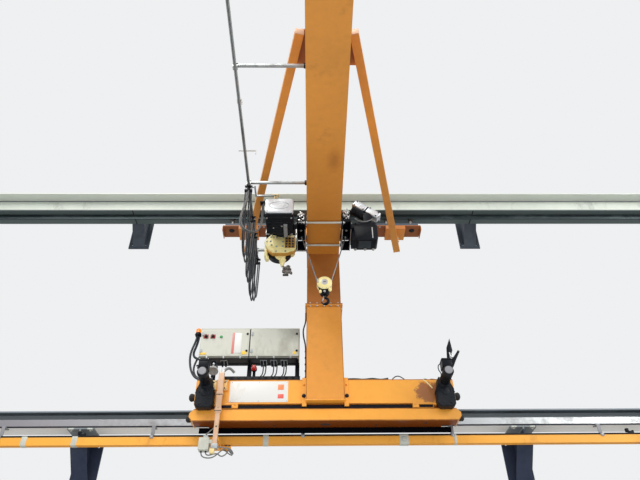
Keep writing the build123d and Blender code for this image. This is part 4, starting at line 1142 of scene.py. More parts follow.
@dataclass
class ControlCabinets(Assembly):
    """The two cabinets, what is on their doors and what hangs below them.

    Attributes:
        left: Left end of the left cabinet.
        width: Width of one cabinet.
        joint: Gap between the two.
        front: Front of the doors.
        back: Back of the cabinets.
        low: Underside.
        high: Top.
        door: Thickness of a door.
    """

    left: float = -1480
    width: float = 590
    joint: float = 2
    front: float = -740
    back: float = -530
    low: float = 1030
    high: float = 1408
    door: float = 20

    def boxes(self) -> None:
        """Folded bodies and doors with rounded edges."""
        b = self.bench
        bodies, doors = [], []
        for i in range(2):
            x = self.left + i * (self.width + self.joint)
            bodies.append(b.block((x + 2, self.front + self.door + 3, self.low),
                (x + self.width - 2, self.back, self.high), 6, 3))
            door = b.block((x + 5, self.front, self.low + 6),
                (x + self.width - 5, self.front + self.door, self.high - 6), 6, 3)
            b.recess(door, lambda f: f.normal.y < -0.98 and f.calc_area() > 0.1, 22, 1.5)
            doors.append(door)
            bodies.append(b.block((x, self.front + 4, self.high - 4),
                (x + self.width, self.back, self.high + 4), 2))
        self.fit(bodies, "cabinet_bodies", "cabinet_paint", "cabinets")
        self.fit(doors[0], "left_door", "cabinet_paint")
        shade = Patch((CRANE_X - 0.32, self.front * MM, 1.375),
            (0.34, 0.5, 0.28), "5c5c54", 0.15, 1.1, 0.74)
        self.fit(doors[1], "right_door", "cabinet_paint", patches=[shade])
        gap = b.block((self.left + 4, self.front + self.door - 2, self.low + 4),
            (self.left + 2 * self.width - 2, self.front + self.door + 4, self.high - 6), 0)
        self.fit(gap, "door_seals", "rubber")

    def door_fittings(self) -> None:
        """Quarter-turn locks, hinges, selector switches, a button and blank plates."""
        b = self.bench
        y = self.front
        locks, hinges = [], []
        for i in range(2):
            x = self.left + i * (self.width + self.joint)
            locks += [(x + self.width - 30, y, z) for z in (self.low + 75, self.high - 75)]
            hinges += [(x + 22, y, z) for z in (self.low + 75, self.high - 75)]
        lock = b.lathe((0, 0, 0), [(0, 5), (6, 5), (7, 9), (12, 9), (14, 3), (14, 0), (0, 0)], Y, 20)
        self.fit(b.spread(lock, locks), "door_locks", "black_paint")
        hinge = b.round((0, -6, 0), 7, 52, Z, 2, 14)
        leaf = b.block((-6, -4, -22), (20, 1, 22), 1.5)
        self.fit(b.spread(b.join(hinge, leaf), hinges), "door_hinges", "galvanised")
        collar = b.lathe((0, 0, 0), [(0, 10), (15, 10), (18, 6), (18, 0), (0, 0)], Y, 24)
        knob = b.block((-6, -32, -19), (6, -8, 19), 4, 3)
        switch = b.join(collar, knob)
        places = [(x, y, 1299) for x in (-1416, -1333)]
        self.fit(b.spread(switch, places), "selector_switches", "black_paint")
        self.fit(b.spread(b.block((-29, -3, -27), (29, 1, 27), 2), places), "switch_plates", "red_panel")
        button = b.lathe((-1234, y, 1295), [(0, 16), (10, 15), (14, 11), (16, 6), (18, 0), (0, 0)], Y, 24)
        self.fit(button, "start_button", "green_button")
        plates = (("rose_plate", -1099, -1073, 1070, 1350, "rose_panel"),
            ("pale_plate", -1070, -985, 1078, 1345, "sign_sheet"),
            ("left_tag", -1468, -1390, 1056, 1084, "plain_plate"),
            ("middle_tag", -974, -918, 1058, 1104, "plain_plate"),
            ("right_tag", -373, -335, 1060, 1096, "plain_plate"))
        for name, x0, x1, z0, z1, finish in plates:
            self.fit(b.block((x0, y - 2, z0), (x1, y + 1, z1), 1), name, finish)

    def underside(self) -> None:
        """A dark bottom plate with gland plates, glands and clips."""
        b = self.bench
        right = self.left + 2 * self.width + self.joint
        base = b.block((self.left + 20, self.front + 30, self.low - 6),
            (right - 20, self.back - 20, self.low + 1), 2)
        self.fit(base, "cabinet_floor", "cabinet_shadow")
        plate = b.block((-40, -55, -13), (40, 55, -6), 3)
        places = [(x, -615, self.low) for x in (-722, -600, -479, -1187)]
        self.fit(b.spread(plate, places), "gland_plates", "galvanised")
        nut = b.round((0, 0, -22), 15, 20, Z, 3, 6)
        tail = b.lathe((0, 0, -55), [(0, 0), (7, 0), (11, 8), (12, 24), (0, 24)], Z, 14)
        spots = [(x + dx, y + dy, self.low) for x, y, _ in places for dx in (-20, 20) for dy in (-28, 28)]
        self.fit(b.spread(b.join(nut, tail), spots), "cabinet_glands", "black_paint")
        clip = b.block((-10, -12, -18), (10, 4, 6), 2)
        spots = [(self.left + 100 + 196 * i, self.front + 12, self.low) for i in range(6)]
        self.fit(b.spread(clip, spots), "cabinet_clips", "galvanised")

    def frame(self) -> None:
        """Uprights, a rail and a slotted cable tray below the cabinets."""
        b = self.bench
        right = self.left + 2 * self.width + self.joint
        beam_top, rail = 724, self.low - 12
        parts = [b.block((self.left, self.back - 50, rail), (right, self.back, self.low), 2)]
        for x in (-1450, (self.left + right - 50) / 2, right - 50):
            parts.append(b.block((x, self.back - 50, beam_top), (x + 50, self.back, rail), 4))
            parts.append(b.block((x - 20, self.back - 70, beam_top),
                (x + 70, self.back + 10, beam_top + 8), 2))
            arm = b.prism([(self.back - 50, 985), (self.back - 50, 1018), (self.front + 50, 1018),
                (self.front + 50, 1008)], x + 10, x + 40, X, 2)
            parts.append(arm)
        self.fit(parts, "cabinet_stand", "black_paint", "cabinet_frame")
        x0, x1, y0, y1, top = -1146, -285, -750, -600, beam_top + 50
        floor = b.block((x0, y0, beam_top), (x1, y1, beam_top + 3), 0)
        walls = [b.block((x0, y, beam_top), (x1, y + 3, top), 1) for y in (y0, y1 - 3)]
        lips = [b.block((x0, y, top - 3), (x1, y + 10, top), 1) for y in (y0, y1 - 10)]
        self.fit([floor, *walls, *lips], "cable_tray", "black_paint")
        slot = b.block((-22, -0.8, -5), (22, 0.4, 5), 0)
        spots = [(x0 + 50 + 77 * i, y0, z) for i in range(11) for z in (beam_top + 16, beam_top + 34)]
        self.fit(b.spread(slot, spots), "tray_slots", "rubber")
        runs = []
        rows = [(-722, 0), (-690, 14), (-600, 2), (-560, 12), (-479, 4), (-450, 16)]
        for i, (x, lift) in enumerate(rows):
            y = -640 + 8 * i
            runs.append(b.pipe([(x, -600 - 20 * (i % 2), self.low - 50),
                (x, -610 - 20 * (i % 2), self.low - 140), (x - 15, -630, 840), (x - 70, y, 775 + lift),
                (x - 180, y, 746 + lift), (x0 + 20, y, 742 + lift)], 7))
        self.fit(runs, "tray_cables", "cable_sheath", smooth=60)

    def sign(self) -> None:
        """A blank white sheet with two coloured squares, on rivets."""
        b = self.bench
        x0, x1, z0, z1, y = -1071, -417, 459, 709, -754
        self.fit(b.block((x0, y, z0), (x1, -750, z1), 1), "blank_sign", "sign_sheet", "sign_board")
        left, side = x1 - 114, 66
        for name, low, high, finish in (("orange_square", 604, 668, "orange_panel"),
                ("coral_square", 502, 553, "coral_panel")):
            self.fit(b.block((left, y - 1.2, low), (left + side, y + 1, high), 0.6), name, finish)
        rivet = b.sphere((0, y, 0), 6, (1, 0.5, 1), 12)
        spots = [(x, 0, z) for x in (x0 + 20, (x0 + x1) / 2, x1 - 12) for z in (z0 + 12, z1 - 12)]
        self.fit(b.spread(rivet, spots), "sign_rivets", "zinc")

    PARTS = (boxes, door_fittings, underside, frame, sign)


@dataclass
class SignalDevices(Assembly):
    """Beacon, dome lamp, horn and the lever switch."""

    def beacon(self) -> None:
        """An amber beacon on a bracket beside the cabinets."""
        b = self.bench
        x, y, z = -1525, -680, 1348
        plate = b.block((x - 36, y - 36, z - 4), (-1480, y + 36, z), 2)
        base = b.lathe((x, y, z), [(0, 34), (31, 34), (36, 26), (37, 10), (37, 0), (0, 0)], Z)
        self.fit([plate, base], "beacon_base", "black_paint", "signals")
        lens = b.lathe((x, y, z + 34),
            [(0, 61), (10, 60), (20, 55), (27, 46), (30, 30), (31, 0), (0, 0)], Z)
        self.fit(lens, "beacon_lens", "amber_lens", smooth=50)
        bars = [b.ring((x, y, z + 50 + 14 * i), 30.5, 1.2) for i in range(3)]
        self.fit(bars, "beacon_ribs", "amber_lens")

    def dome(self) -> None:
        """A red dome lamp that looks forward under the cabinets."""
        b = self.bench
        x, y, z = -820, -675, 892
        stand = b.block((x - 17, y, 727), (x + 17, y + 6, z + 20), 2)
        foot = b.block((x - 25, y - 30, 727), (x + 25, y + 6, 733), 2)
        cup = b.lathe((x, y, z), [(0, 40), (30, 40), (34, 34), (34, 6), (28, 0), (0, 0)])
        self.fit([stand, foot, cup], "lamp_cup", "black_paint")
        lens = b.lathe((x, y - 40, z), [(0, 54), (12, 52), (22, 45), (29, 32), (31, 14), (31, 0), (0, 0)])
        self.fit(lens, "lamp_lens", "red_lens", smooth=50)
        cage = [b.pipe([(x + 32 * math.cos(a), y - 38, z + 32 * math.sin(a)),
            (x + 34 * math.cos(a), y - 72, z + 34 * math.sin(a)),
            (x + 20 * math.cos(a), y - 94, z + 20 * math.sin(a)), (x, y - 96, z)], 1.6)
            for a in (i * math.pi / 2 + 0.78 for i in range(4))]
        self.fit(cage, "lamp_cage", "zinc", smooth=60)

    def horn(self) -> None:
        """A round driver with a ribbed bell under it that opens forward and down."""
        b = self.bench
        x, y, z = -1278, -688, 914
        stand = b.block((x - 18, y - 12, 724), (x + 18, y, z), 3)
        driver = b.lathe((x, y, z), [(0, 0), (30, 0), (36, 8), (36, 40), (32, 50), (36, 62), (40, 100),
            (40, 110), (30, 110), (20, 96), (0, 96)])
        self.fit([stand, driver], "horn_driver", "black_paint", smooth=50)
        core = b.lathe((x, y - 96, z), [(0, 8), (10, 8), (14, 0), (0, 0)], Y, 20)
        self.fit(core, "horn_core", "alloy", smooth=50)
        bell = b.lathe((x, -742, z - 20), [(0, 0), (30, 0), (34, 20), (46, 55), (60, 82), (60, 86),
            (52, 84), (36, 60), (0, 52)], DOWN)
        ribs = [b.ring((x, -742, z - 20 - h), r, 2.5) for h, r in ((30, 38), (46, 44), (62, 50))]
        whole = b.join(bell, *ribs)
        self.fit(b.turn(whole, -24, (1, 0, 0), (x, -735, z)), "horn_bell", "horn_grey", smooth=50)
        knob = b.lathe((x - 8, -752, 770), [(0, 20), (10, 18), (16, 10), (16, 0), (0, 0)])
        self.fit(knob, "horn_plug", "black_paint")

    def lever(self) -> None:
        """A position switch on a stand, with two crossed blades."""
        b = self.bench
        x, y, base, top = 1400, -710, 724, 914
        stand = b.block((x - 20, y - 20, base), (x + 20, y + 20, top), 4)
        foot = b.block((x - 40, y - 38, base), (x + 40, y + 38, base + 8), 2)
        clamp = b.block((x - 28, y - 28, base + 120), (x + 28, y + 28, base + 150), 4)
        case = b.block((x - 39, y - 36, top), (x + 46, y + 36, top + 80), 8, 3)
        b.recess(case, lambda f: f.normal.y < -0.98, 8, -4)
        self.fit([stand, foot, clamp, case], "switch_stand", "black_paint", "lever_switch")
        wide, tall, head, front = 45, 230, top + 80, y - 40
        upright = [(x + 0.6 * wide, head - wide), (x + 1.6 * wide, head - 0.2 * wide),
            (x + 2 * wide, head + 0.2 * tall), (x + 2.5 * wide, head + 0.45 * tall),
            (x + 2.2 * wide, head + 1.15 * tall), (x + wide, head + 0.6 * tall)]
        slanted = [(x + 0.6 * wide, head - 1.4 * wide), (x + 2 * wide, head - 0.5 * tall),
            (x + 3 * wide, head - 0.1 * tall), (x + 4.4 * wide, head + 0.4 * tall),
            (x + 3.9 * wide, head + 0.46 * tall), (x + 2.6 * wide, head + 0.1 * tall)]
        for name, outline, shift in (("upright_blade", upright, 0), ("slanted_blade", slanted, -4)):
            self.fit(b.prism(outline, front + shift, front + shift + 7, Y, 1.5), name, "black_paint")
        clevis = [b.block((x + 1.45 * wide, front - 8, head + 8), (x + 1.75 * wide, front + 12, head + 75),
            3), b.block((x + 2 * wide, front - 10, head + 12), (x + 2.3 * wide, front + 12, head + 66), 3),
            b.round((x + 1.9 * wide, front - 4, head + 18), 12, 26, Y, 3, 20)]
        self.fit(clevis, "blade_clevis", "bright_nuts")
        tips = [b.round((x + 2.15 * wide, front + 1, head + 0.98 * tall), 7, 18, Y, 2, 20),
            b.round((x + 4.05 * wide, front - 3, head + 0.38 * tall), 8, 18, Y, 2, 20)]
        self.fit(tips, "blade_rollers", "wheel_steel")
        lead = b.pipe([(x - 30, y, top + 30), (x - 75, y - 10, top + 20), (x - 85, y - 10, top - 50),
            (x - 60, y - 20, top - 100), (x - 62, y - 20, base + 60), (x - 80, y, base + 4)], 6)
        self.fit(lead, "switch_lead", "cable_sheath", smooth=60)

    def side_leads(self) -> None:
        """Black cables beside the cabinets, from the beacon down to the crossbeam's end."""
        b = self.bench
        routes = ((13, (-1532, -680, 1346), (-1545, -670, 1270), (-1575, -660, 1190), (-1592, -660, 1100),
            (-1585, -660, 1000), (-1555, -665, 880), (-1500, -670, 800), (-1448, -680, 775),
            (-1430, -690, 745)), (14, (-1515, -664, 1346), (-1520, -650, 1290), (-1540, -640, 1210),
            (-1562, -635, 1140), (-1552, -635, 1085), (-1510, -630, 1060), (-1478, -630, 1058)),
            (12, (-1478, -600, 1100), (-1510, -600, 1085), (-1535, -610, 1000), (-1540, -620, 920),
            (-1510, -630, 840), (-1455, -640, 800), (-1425, -640, 745)))
        for i, (radius, *points) in enumerate(routes):
            self.lead(f"side_lead_{i + 1}", points, radius, "cable_sheath")
        nut = b.round((0, 0, 735), 17, 24, Z, 3, 6)
        self.fit(b.spread(nut, [(-1430, -690, 0), (-1425, -640, 0)]), "side_glands", "black_paint")

    PARTS = (beacon, side_leads, dome, horn, lever)


@dataclass
class CurrentCollector(Assembly):
    """The arm that reaches down to the conductor line, its ears, shoe and box.

    Attributes:
        x: Middle of the arm.
        front: Front of the arm.
        back: Back of the arm.
        top: Top of the arm.
        low: Foot of the arm.
        half: Half its width.
    """

    x: float = -1165
    front: float = -850
    back: float = -810
    top: float = 772
    low: float = -88
    half: float = 30

    def arm(self) -> None:
        """Two overlapping channels with clamps at their joints."""
        b = self.bench
        channel = [(self.x - self.half, self.back), (self.x - self.half, self.front),
            (self.x + self.half, self.front), (self.x + self.half, self.back),
            (self.x + self.half - 5, self.back), (self.x + self.half - 5, self.front + 5),
            (self.x - self.half + 5, self.front + 5), (self.x - self.half + 5, self.back)]
        upper = b.prism(channel, self.top, 300, Z, 0.8)
        inner = [(self.x + (px - self.x) * 0.8, py + (4 if py < -830 else 0)) for px, py in channel]
        lower = b.prism(inner, 330, self.low, Z, 0.8)
        self.fit([upper, lower], "collector_channels", "arm_paint", "collector_arm")
        hole = b.round((0, self.front - 0.3, 0), 9, 1.6, Y, 0, 20)
        small = b.round((0, self.front + 3.7, 0), 9, 1.6, Y, 0, 20)
        spots = [(self.x, 0, z) for z in (512, 352)]
        self.fit([b.spread(hole, spots), b.spread(small, [(self.x, 0, 150)])],
            "collector_holes", "cabinet_shadow")
        rows = (528, 340)
        band = b.block((self.x - 36, self.front - 4, -16), (self.x + 36, self.back + 4, 16), 3)
        self.fit(b.spread(band, [(0, 0, z) for z in rows]), "collector_bands", "arm_paint")
        gap = b.block((self.x - 36.5, self.front - 4.5, -2), (self.x + 36.5, self.front + 2, 2), 0)
        self.fit(b.spread(gap, [(0, 0, z - 18) for z in rows]), "band_gaps", "cabinet_shadow")
        fork = [b.block((self.x - 28, self.front + 4, self.top - 4),
            (self.x - 10, self.back - 4, self.top + 52), 4),
            b.block((self.x + 10, self.front + 4, self.top - 4),
            (self.x + 28, self.back - 4, self.top + 40), 4),
            b.block((self.x - 30, self.front + 2, self.top - 30),
            (self.x + 30, self.back - 2, self.top + 8), 4)]
        self.fit(fork, "collector_fork", "sign_sheet")
        elbow = b.pipe([(self.x + 20, self.back - 10, self.top + 30),
            (self.x + 50, self.back, self.top + 75), (self.x + 95, self.back + 30, self.top + 80),
            (self.x + 130, self.back + 50, self.top + 40)], 15)
        self.fit(elbow, "lead_elbow", "grey_sheath", smooth=60)

    def ears(self) -> None:
        """Drilled ear plates on both sides of the arm's head."""
        b = self.bench
        left = b.block((self.x - 118, -771, 596), (self.x - 56, -765, 716), 3)
        right = b.block((self.x + 6, -771, 592), (self.x + 58, -765, 716), 3)
        self.fit([left, right], "collector_ears", "ear_paint")
        dark = b.round((0, -771.5, 0), 9, 1.6, Y, 0, 20)
        spots = [(self.x + dx, 0, z) for dx in (-88, 36) for z in (620, 690)]
        self.fit(b.spread(dark, spots), "ear_holes", "cabinet_shadow")
        spots = [(self.x + dx, -771, z) for dx in (-68, 50) for z in (606, 706)]
        self.fit(b.bolts(8, spots), "ear_bolts", "zinc")

    def shoe(self) -> None:
        """A wheeled collector carriage in the conductor's slot, with its towing arm."""
        b = self.bench
        z0, z1, y = 15, 60, -500
        body = b.block((self.x - 130, y - 24, z0 + 4), (self.x + 130, y + 24, z1), 8, 3)
        b.recess(body, lambda f: abs(f.normal.y) > 0.98, 10, 3)
        blade = b.block((self.x - 58, y - 4, z1 - 4), (self.x + 58, y + 4, 88), 1)
        tow = b.block((self.x - 18, self.back - 2, z0 + 2), (self.x + 18, y, z0 + 18), 3)
        fork = [b.block((self.x + s * 30 - 4, self.back - 10, z0),
            (self.x + s * 30 + 4, y - 20, z0 + 22), 1) for s in (-1, 1)]
        self.fit([body, blade, tow, *fork], "collector_carriage", "conductor_plastic", "collector")
        wheel = b.round((0, y, z1 + 4), 11, 38, Y, 3, 20)
        self.fit(b.spread(wheel, [(self.x + dx, 0, 0) for dx in (-112, -75, 75, 112)]),
            "collector_rollers", "rubber")
        self.fit(b.bolts(7, [(self.x + dx, y, z0 + 4) for dx in (-100, 100)],
            DOWN), "collector_bolts", "zinc")

    def box(self) -> None:
        """A junction box with a raised lid, screws and glands, a strap, a clamp and the arm's foot."""
        b = self.bench
        x0, x1, z0, z1 = self.x - 165, self.x - 60, -98, 30
        case = b.block((x0, self.front + 10, z0), (x1, self.front + 90, z1), 6, 3)
        lid = b.block((x0 - 2, self.front, z0 - 2), (x1 + 2, self.front + 16, z1 + 2), 5, 3)
        b.recess(lid, lambda f: f.normal.y < -0.98, 12, -2)
        strap = b.block((x1 - 10, self.front + 12, -28), (self.x - self.half + 8, self.back - 10, 12), 3)
        self.fit([case, lid, strap], "lead_box", "cabinet_paint", "junction_box")
        heads = [(x, self.front + 1, z) for x in (x0 + 10, x1 - 10) for z in (z0 + 10, z1 - 10)]
        self.fit(b.bolts(5, heads, Y, False), "lead_box_screws", "zinc")
        nut = b.round((0, 0, z0 - 6), 10, 16, Z, 2, 6)
        spots = [(x0 + 28, self.front + 50, 0), (x0 + 75, self.front + 50, 0)]
        self.fit(b.spread(nut, spots), "lead_box_glands", "black_paint")
        ear = b.block((x0 + 40, self.front + 6, z1), (x0 + 92, self.front + 20, z1 + 24), 3)
        clamp = b.block((self.x - 36, self.front - 6, -86), (self.x + 36, self.back + 2, -34), 5)
        self.fit([ear, clamp], "lead_clamp", "galvanised")
        foot = b.block((self.x - 44, self.front - 4, -134), (self.x + 6, self.back, -86), 4)
        self.fit(foot, "arm_foot", "ear_paint")

    def leads(self) -> None:
        """Grey leads that loop from the box and the arm to the collector."""
        routes = (((-1302, -800, -106), (-1300, -800, -138), (-1268, -798, -162), (-1215, -790, -166),
            (-1170, -765, -145), (-1131, -740, -98), (-1090, -710, -45), (-1045, -700, -22),
            (-1005, -670, -40), (-990, -620, -60), (-1005, -560, -45), (-1040, -520, -12),
            (-1060, -505, 22)), ((-1136, -812, -56), (-1090, -780, -50), (-1036, -740, -44),
            (-1000, -700, -70), (-995, -650, -90), (-1020, -580, -60), (-1075, -530, -15),
            (-1095, -505, 22)), ((-1255, -800, -106), (-1253, -800, -128), (-1225, -795, -140),
            (-1180, -780, -122), (-1140, -760, -106), (-1100, -730, -132), (-1060, -710, -105),
            (-1040, -670, -50), (-1060, -590, -30), (-1120, -505, 22)),
            ((-1283, -800, 26), (-1281, -792, 70), (-1255, -775, 108), (-1215, -775, 145),
            (-1182, -788, 168), (-1168, -812, 184)))
        for i, points in enumerate(routes):
            self.lead(f"collector_lead_{i + 1}", points, 6.5)

    PARTS = (arm, ears, shoe, box, leads)


@dataclass
class TrolleyFrame(Assembly):
    """Side plates, outer plates, wheels, tie rods and the hardware on top of them.

    Attributes:
        front: Front edge of the side plates.
        back: Back edge of the side plates.
        inner: Inner face of a side plate, from the crane's middle.
        thick: Thickness of a side plate.
        outer: Inner face of the outer plates.
        low: Lower edge.
        high: Upper edge.
    """

    body: str = "trolley"
    front: float = -1480
    back: float = -1000
    inner: float = 222
    thick: float = 12
    outer: float = 328
    low: float = 2380
    high: float = 2657

    def plates(self) -> None:
        """Shaped side plates with a bright lower edge, and a cross web to the outer plates."""
        b = self.bench
        y0, y1, z0, z1 = self.front, self.back, self.low, self.high
        outline = [(y0, z0 + 30), (y0 + 25, z0), (y1 - 25, z0), (y1, z0 + 30), (y1, z1 - 50),
            (y1 - 35, z1), (y1 - 125, z1), (y1 - 165, z1 - 70), (y0 + 165, z1 - 70),
            (y0 + 125, z1), (y0 + 35, z1), (y0, z1 - 50)]
        x = self.inner
        side = b.prism(outline, x, x + self.thick, X, 2)
        self.fit(b.pair(side), "trolley_plates", "black_paint", "trolley_sides")
        low_outline = [(y0 + 10, z0 + 20), (y0 + 25, z0 + 4), (y1 - 25, z0 + 4), (y1 - 10, z0 + 20),
            (y1 - 10, z1 - 110), (y1 - 60, z1 - 75), (y0 + 60, z1 - 75), (y0 + 10, z1 - 110)]
        x = self.outer
        parts = [b.prism(low_outline, x, x + 10, X, 2)]
        inside = self.inner + self.thick
        for y, low, high in ((y0 + 20, z0 + 120, z1 - 110), (y1 - 30, z0 + 12, z1 - 110),
                (y0 + 180, z0 + 120, z1 - 85), (y1 - 150, z0 + 120, z1 - 85)):
            parts.append(b.block((inside - 1, y, low), (x + 1, y + 8, high), 1))
        parts.append(b.block((inside - 1, y0 + 20, z1 - 95), (x + 1, y1 - 20, z1 - 88), 1))
        anchor = b.block((inside - 1, -1230, 2451), (x - 22, -1170, 2491), 6)
        eye = b.ring((x - 53, -1200, 2458), 14, 5, Y, 24)
        self.fit(b.pair(*parts, anchor, eye), "outer_plates", "black_paint")
        px = self.inner + 1
        edge = [b.block((px, y0 + 32, z0 - 1.2), (px + self.thick - 2, y1 - 32, z0 + 3), 1)]
        edge.append(b.block((x + 1, y0 + 32, z0 + 1.5), (x + 9, y1 - 32, z0 + 7), 1))
        self.fit(b.pair(*edge), "plate_edges", "zinc")

    def rods(self) -> None:
        """The two tie rods under the jib, their nuts and the arms that carry the hoist."""
        b = self.bench
        reach = self.inner + self.thick
        bars, nuts = [], []
        for y in (-1460, -1020):
            bars.append(b.round((0, y, 2482), 13, 2 * self.inner, X, 1, 24))
            for side in (-1, 1):
                x = side * (self.inner - 9)
                nuts.append(b.round((x, y, 2482), 21, 16, X, 2, 6))
                nuts.append(b.round((side * (reach + 8), y, 2482), 21, 14, X, 2, 6))
                nuts.append(b.round((side * (reach + 20), y, 2482), 11, 18, X, 2, 16))
        self.fit(bars, "tie_rods", "cabinet_paint", "trolley_arms", smooth=50)
        self.fit(nuts, "tie_nuts", "zinc")
        arms = [b.block((-374, -1478, 2407), (-self.outer, -1418, 2447), 3),
            b.block((-350, -1075, 2407), (-self.outer, -1015, 2447), 3),
            b.block((self.outer + 10, -1450, 2407), (374, -1390, 2447), 3)]
        self.fit(arms, "hoist_arms", "black_paint")

    @staticmethod
    def lowered(piece: Piece) -> Piece:
        """A mirrored piece whose left half hangs lower than its right half."""
        for vertex in piece.data.vertices:
            if vertex.co.x < 0:
                vertex.co.z -= 52 * MM
        return piece

    def hardware(self) -> None:
        """Bright nuts, rings and spindles at the front of both sides, above the plates."""
        b = self.bench
        y = self.front + 45
        x = self.inner + self.thick
        bright, dark = [], []
        for i, z in enumerate((2566, 2624, 2682)):
            bright.append(b.round((x + 46, y, z), 9, 92, X, 1, 16))
            for j in range(3):
                size = 24 if (i + j) % 2 else 18
                made = b.round((x + 14 + 31 * j, y - 4, z), size, 13, X, 3, 6 if j % 2 else 20)
                (bright if (i + j) % 3 else dark).append(made)
            bright.append(b.round((x + 20 + 18 * i, y - 26, z + 20), 13, 22, Y, 3, 6))
            bright.append(b.round((x + 70 - 12 * i, y - 24, z + 8), 15, 18, Y, 3, 24))
        bright.append(b.ring((x + 46, y - 36, 2652), 20, 5, Y, 28))
        self.fit(self.lowered(b.pair(*bright)), "trolley_spindles", "bright_nuts")
        dark += [b.block((x - 1, y - 4, self.high - 110), (x + 6, y + 60, 2712), 3),
            b.block((x + 84, y - 4, 2545), (x + 90, y + 60, 2706), 3),
            b.block((x + 4, y + 20, 2560), (x + 88, y + 50, 2700), 4)]
        self.fit(self.lowered(b.pair(*dark)), "spindle_lugs", "black_paint")
        spots = [(self.outer + 10, self.front + dy, 2450 + dz)
            for dy, dz in ((90, 0), (200, 0), (300, 0), (400, 0), (90, 80), (400, 80))]
        side = b.bolts(14, spots, X)
        under = b.bolts(14, [(x + 50, self.front + dy, z) for dy, z in ((190, 2500), (340, 2500))], DOWN)
        self.fit(b.pair(side, under), "plate_bolts", "zinc")

    def wheels(self) -> None:
        """Flanged wheels on the jib's lower flange with bearing caps outside the plates."""
        b = self.bench
        wheels, caps = [], []
        for y in (-1410, -1070):
            start = self.inner - 7
            profile = [(0, 0), (30, 0), (55, 0), (55, 10), (50, 12), (50, 48),
                (46, 50), (20, 50), (18, 44), (0, 44)]
            wheels.append(b.lathe((start, y, 2582), profile, LEFT, 40))
            wheels.append(b.round((start + 4, y, 2582), 14, 10, X, 0, 20))
            cap = b.lathe((self.inner + self.thick, y, 2582),
                [(0, 14), (18, 13), (24, 8), (34, 7), (36, 0), (0, 0)], X, 28)
            caps.append(cap)
        self.fit(b.pair(*wheels), "flanged_wheels", "wheel_steel", "trolley_wheels")
        self.fit(b.pair(*caps), "bearing_caps", "dark_iron")

    def ballast(self) -> None:
        """A rounded counterweight box with a slate panel under it and bolts along its back."""
        b = self.bench
        x0, x1, y0, y1, z0, z1 = 372, 665, -1400, -1200, 2255, 2480
        r = 45
        outline = [(x0, z1), (x1, z1)]
        outline += [(x1 - r + r * math.cos(a), z0 + r + r * math.sin(a))
            for a in (-i * math.pi / 12 for i in range(7))]
        outline += [(x0 + r + r * math.cos(a), z0 + r + r * math.sin(a))
            for a in (-math.pi / 2 - i * math.pi / 12 for i in range(7))]
        box = b.prism(outline, y0, y1, Y, 6)
        rim = b.block((x0 + 1, y0 + 1, z1 - 18), (x1 - 1, y1 - 1, z1), 4)
        link = b.block((336, y0 + 4, z0 + 8), (x0 + 30, y1 - 10, z1 - 2), 4)
        rib = b.block((x1 - 72, y0 - 0.5, z0 + 30), (x1 - 60, y0 + 10, z1 - 20), 1)
        self.fit([box, rim, link], "counterweight", "black_paint", "ballast_box")
        self.fit(rib, "counterweight_rib", "horn_grey")
        panel = b.block((x0 + 55, y0 + 22, z0 - 1.5), (x1 - 85, y1 - 35, z0 + 2), 1)
        self.fit(panel, "slate_plate", "slate_panel")
        places = [(x, y1 - 18, z0) for x in (x0 + 20, x0 + 140, x1 - 50)]
        self.fit(b.bolts(17, places, DOWN), "counterweight_bolts", "zinc")
        cone = b.lathe((x1 - 30, y1 + 1, z0 + 60), [(0, 30), (12, 28), (22, 10), (24, 0), (0, 0)], BACK, 24)
        self.fit(cone, "cable_cone", "gear_paint")

    def travel_drive(self) -> None:
        """A tilted drive: two ribbed bright casings on a dark body, with a lifting handle."""
        b = self.bench
        x, y, z, tilt = 550, -1345, 2772, 37
        casings = []
        for start, end in ((-196, -8), (4, 192)):
            casings.append(b.block((x + start, y - 53, z - 50), (x + end, y + 50, z + 52), 16, 3))
            for i in range(5):
                spot = x + start + (end - start) * (4 + 3 * i) / 20
                casings.append(b.block((spot - 3, y - 50, z + 48), (spot + 3, y + 45, z + 54.5), 1))
                casings.append(b.block((spot - 3, y - 54.5, z - 35), (spot + 3, y - 48, z + 35), 1))
        seam = b.block((x - 10, y - 48, z - 45), (x + 6, y + 46, z + 46), 2)
        lug = b.round((x - 2, y - 50, z - 50), 12, 16, Y, 3, 20)
        self.fit(b.turn(b.join(*casings), tilt, (0, 1, 0), (x, y, z)),
            "drive_casings", "alloy", "travel_motor")
        self.fit(b.turn(b.join(seam, lug), tilt, (0, 1, 0), (x, y, z)), "casing_seam", "black_paint")
        body = b.finned((x - 50, y, z - 98), 46, 200, X, 26, 5)
        bell = b.lathe((x + 50, y, z - 98), [(0, 50), (30, 50), (44, 40), (50, 0), (0, 0)], X)
        flange = b.round((x - 152, y, z - 90), 52, 14, X, 3)
        link = b.block((x - 150, y - 40, z - 75), (x + 120, y + 40, z - 40), 6)
        self.fit(b.turn(b.join(body, bell, flange, link), tilt, (0, 1, 0),
            (x, y, z)), "drive_body", "black_paint")
        neck = b.block((x - 55, y - 50, 2478), (x + 55, y + 50, z - 60), 14, 3)
        pan = b.block((x - 165, y - 53, 2478), (x + 112, y + 55, 2560), 30, 4)
        plinth = b.block((x - 170, y - 55, 2478), (x + 115, y + 60, 2496), 4)
        ledge = b.block((self.outer + 8, y - 30, 2500), (x - 140, y + 40, 2548), 6)
        self.fit([neck, pan, plinth, ledge], "drive_neck", "black_paint")
        handle = b.pipe([(x - 160, y - 58, 2600), (x - 130, y - 64, 2560), (x - 50, y - 66, 2538),
            (x + 30, y - 66, 2556), (x + 60, y - 60, 2590)], 6)
        grip = b.pipe([(x + 140, y - 52, 2640), (x + 158, y - 60, 2600), (x + 150, y - 56, 2560)], 7)
        self.fit([handle, grip], "drive_handle", "grey_sheath", smooth=60)
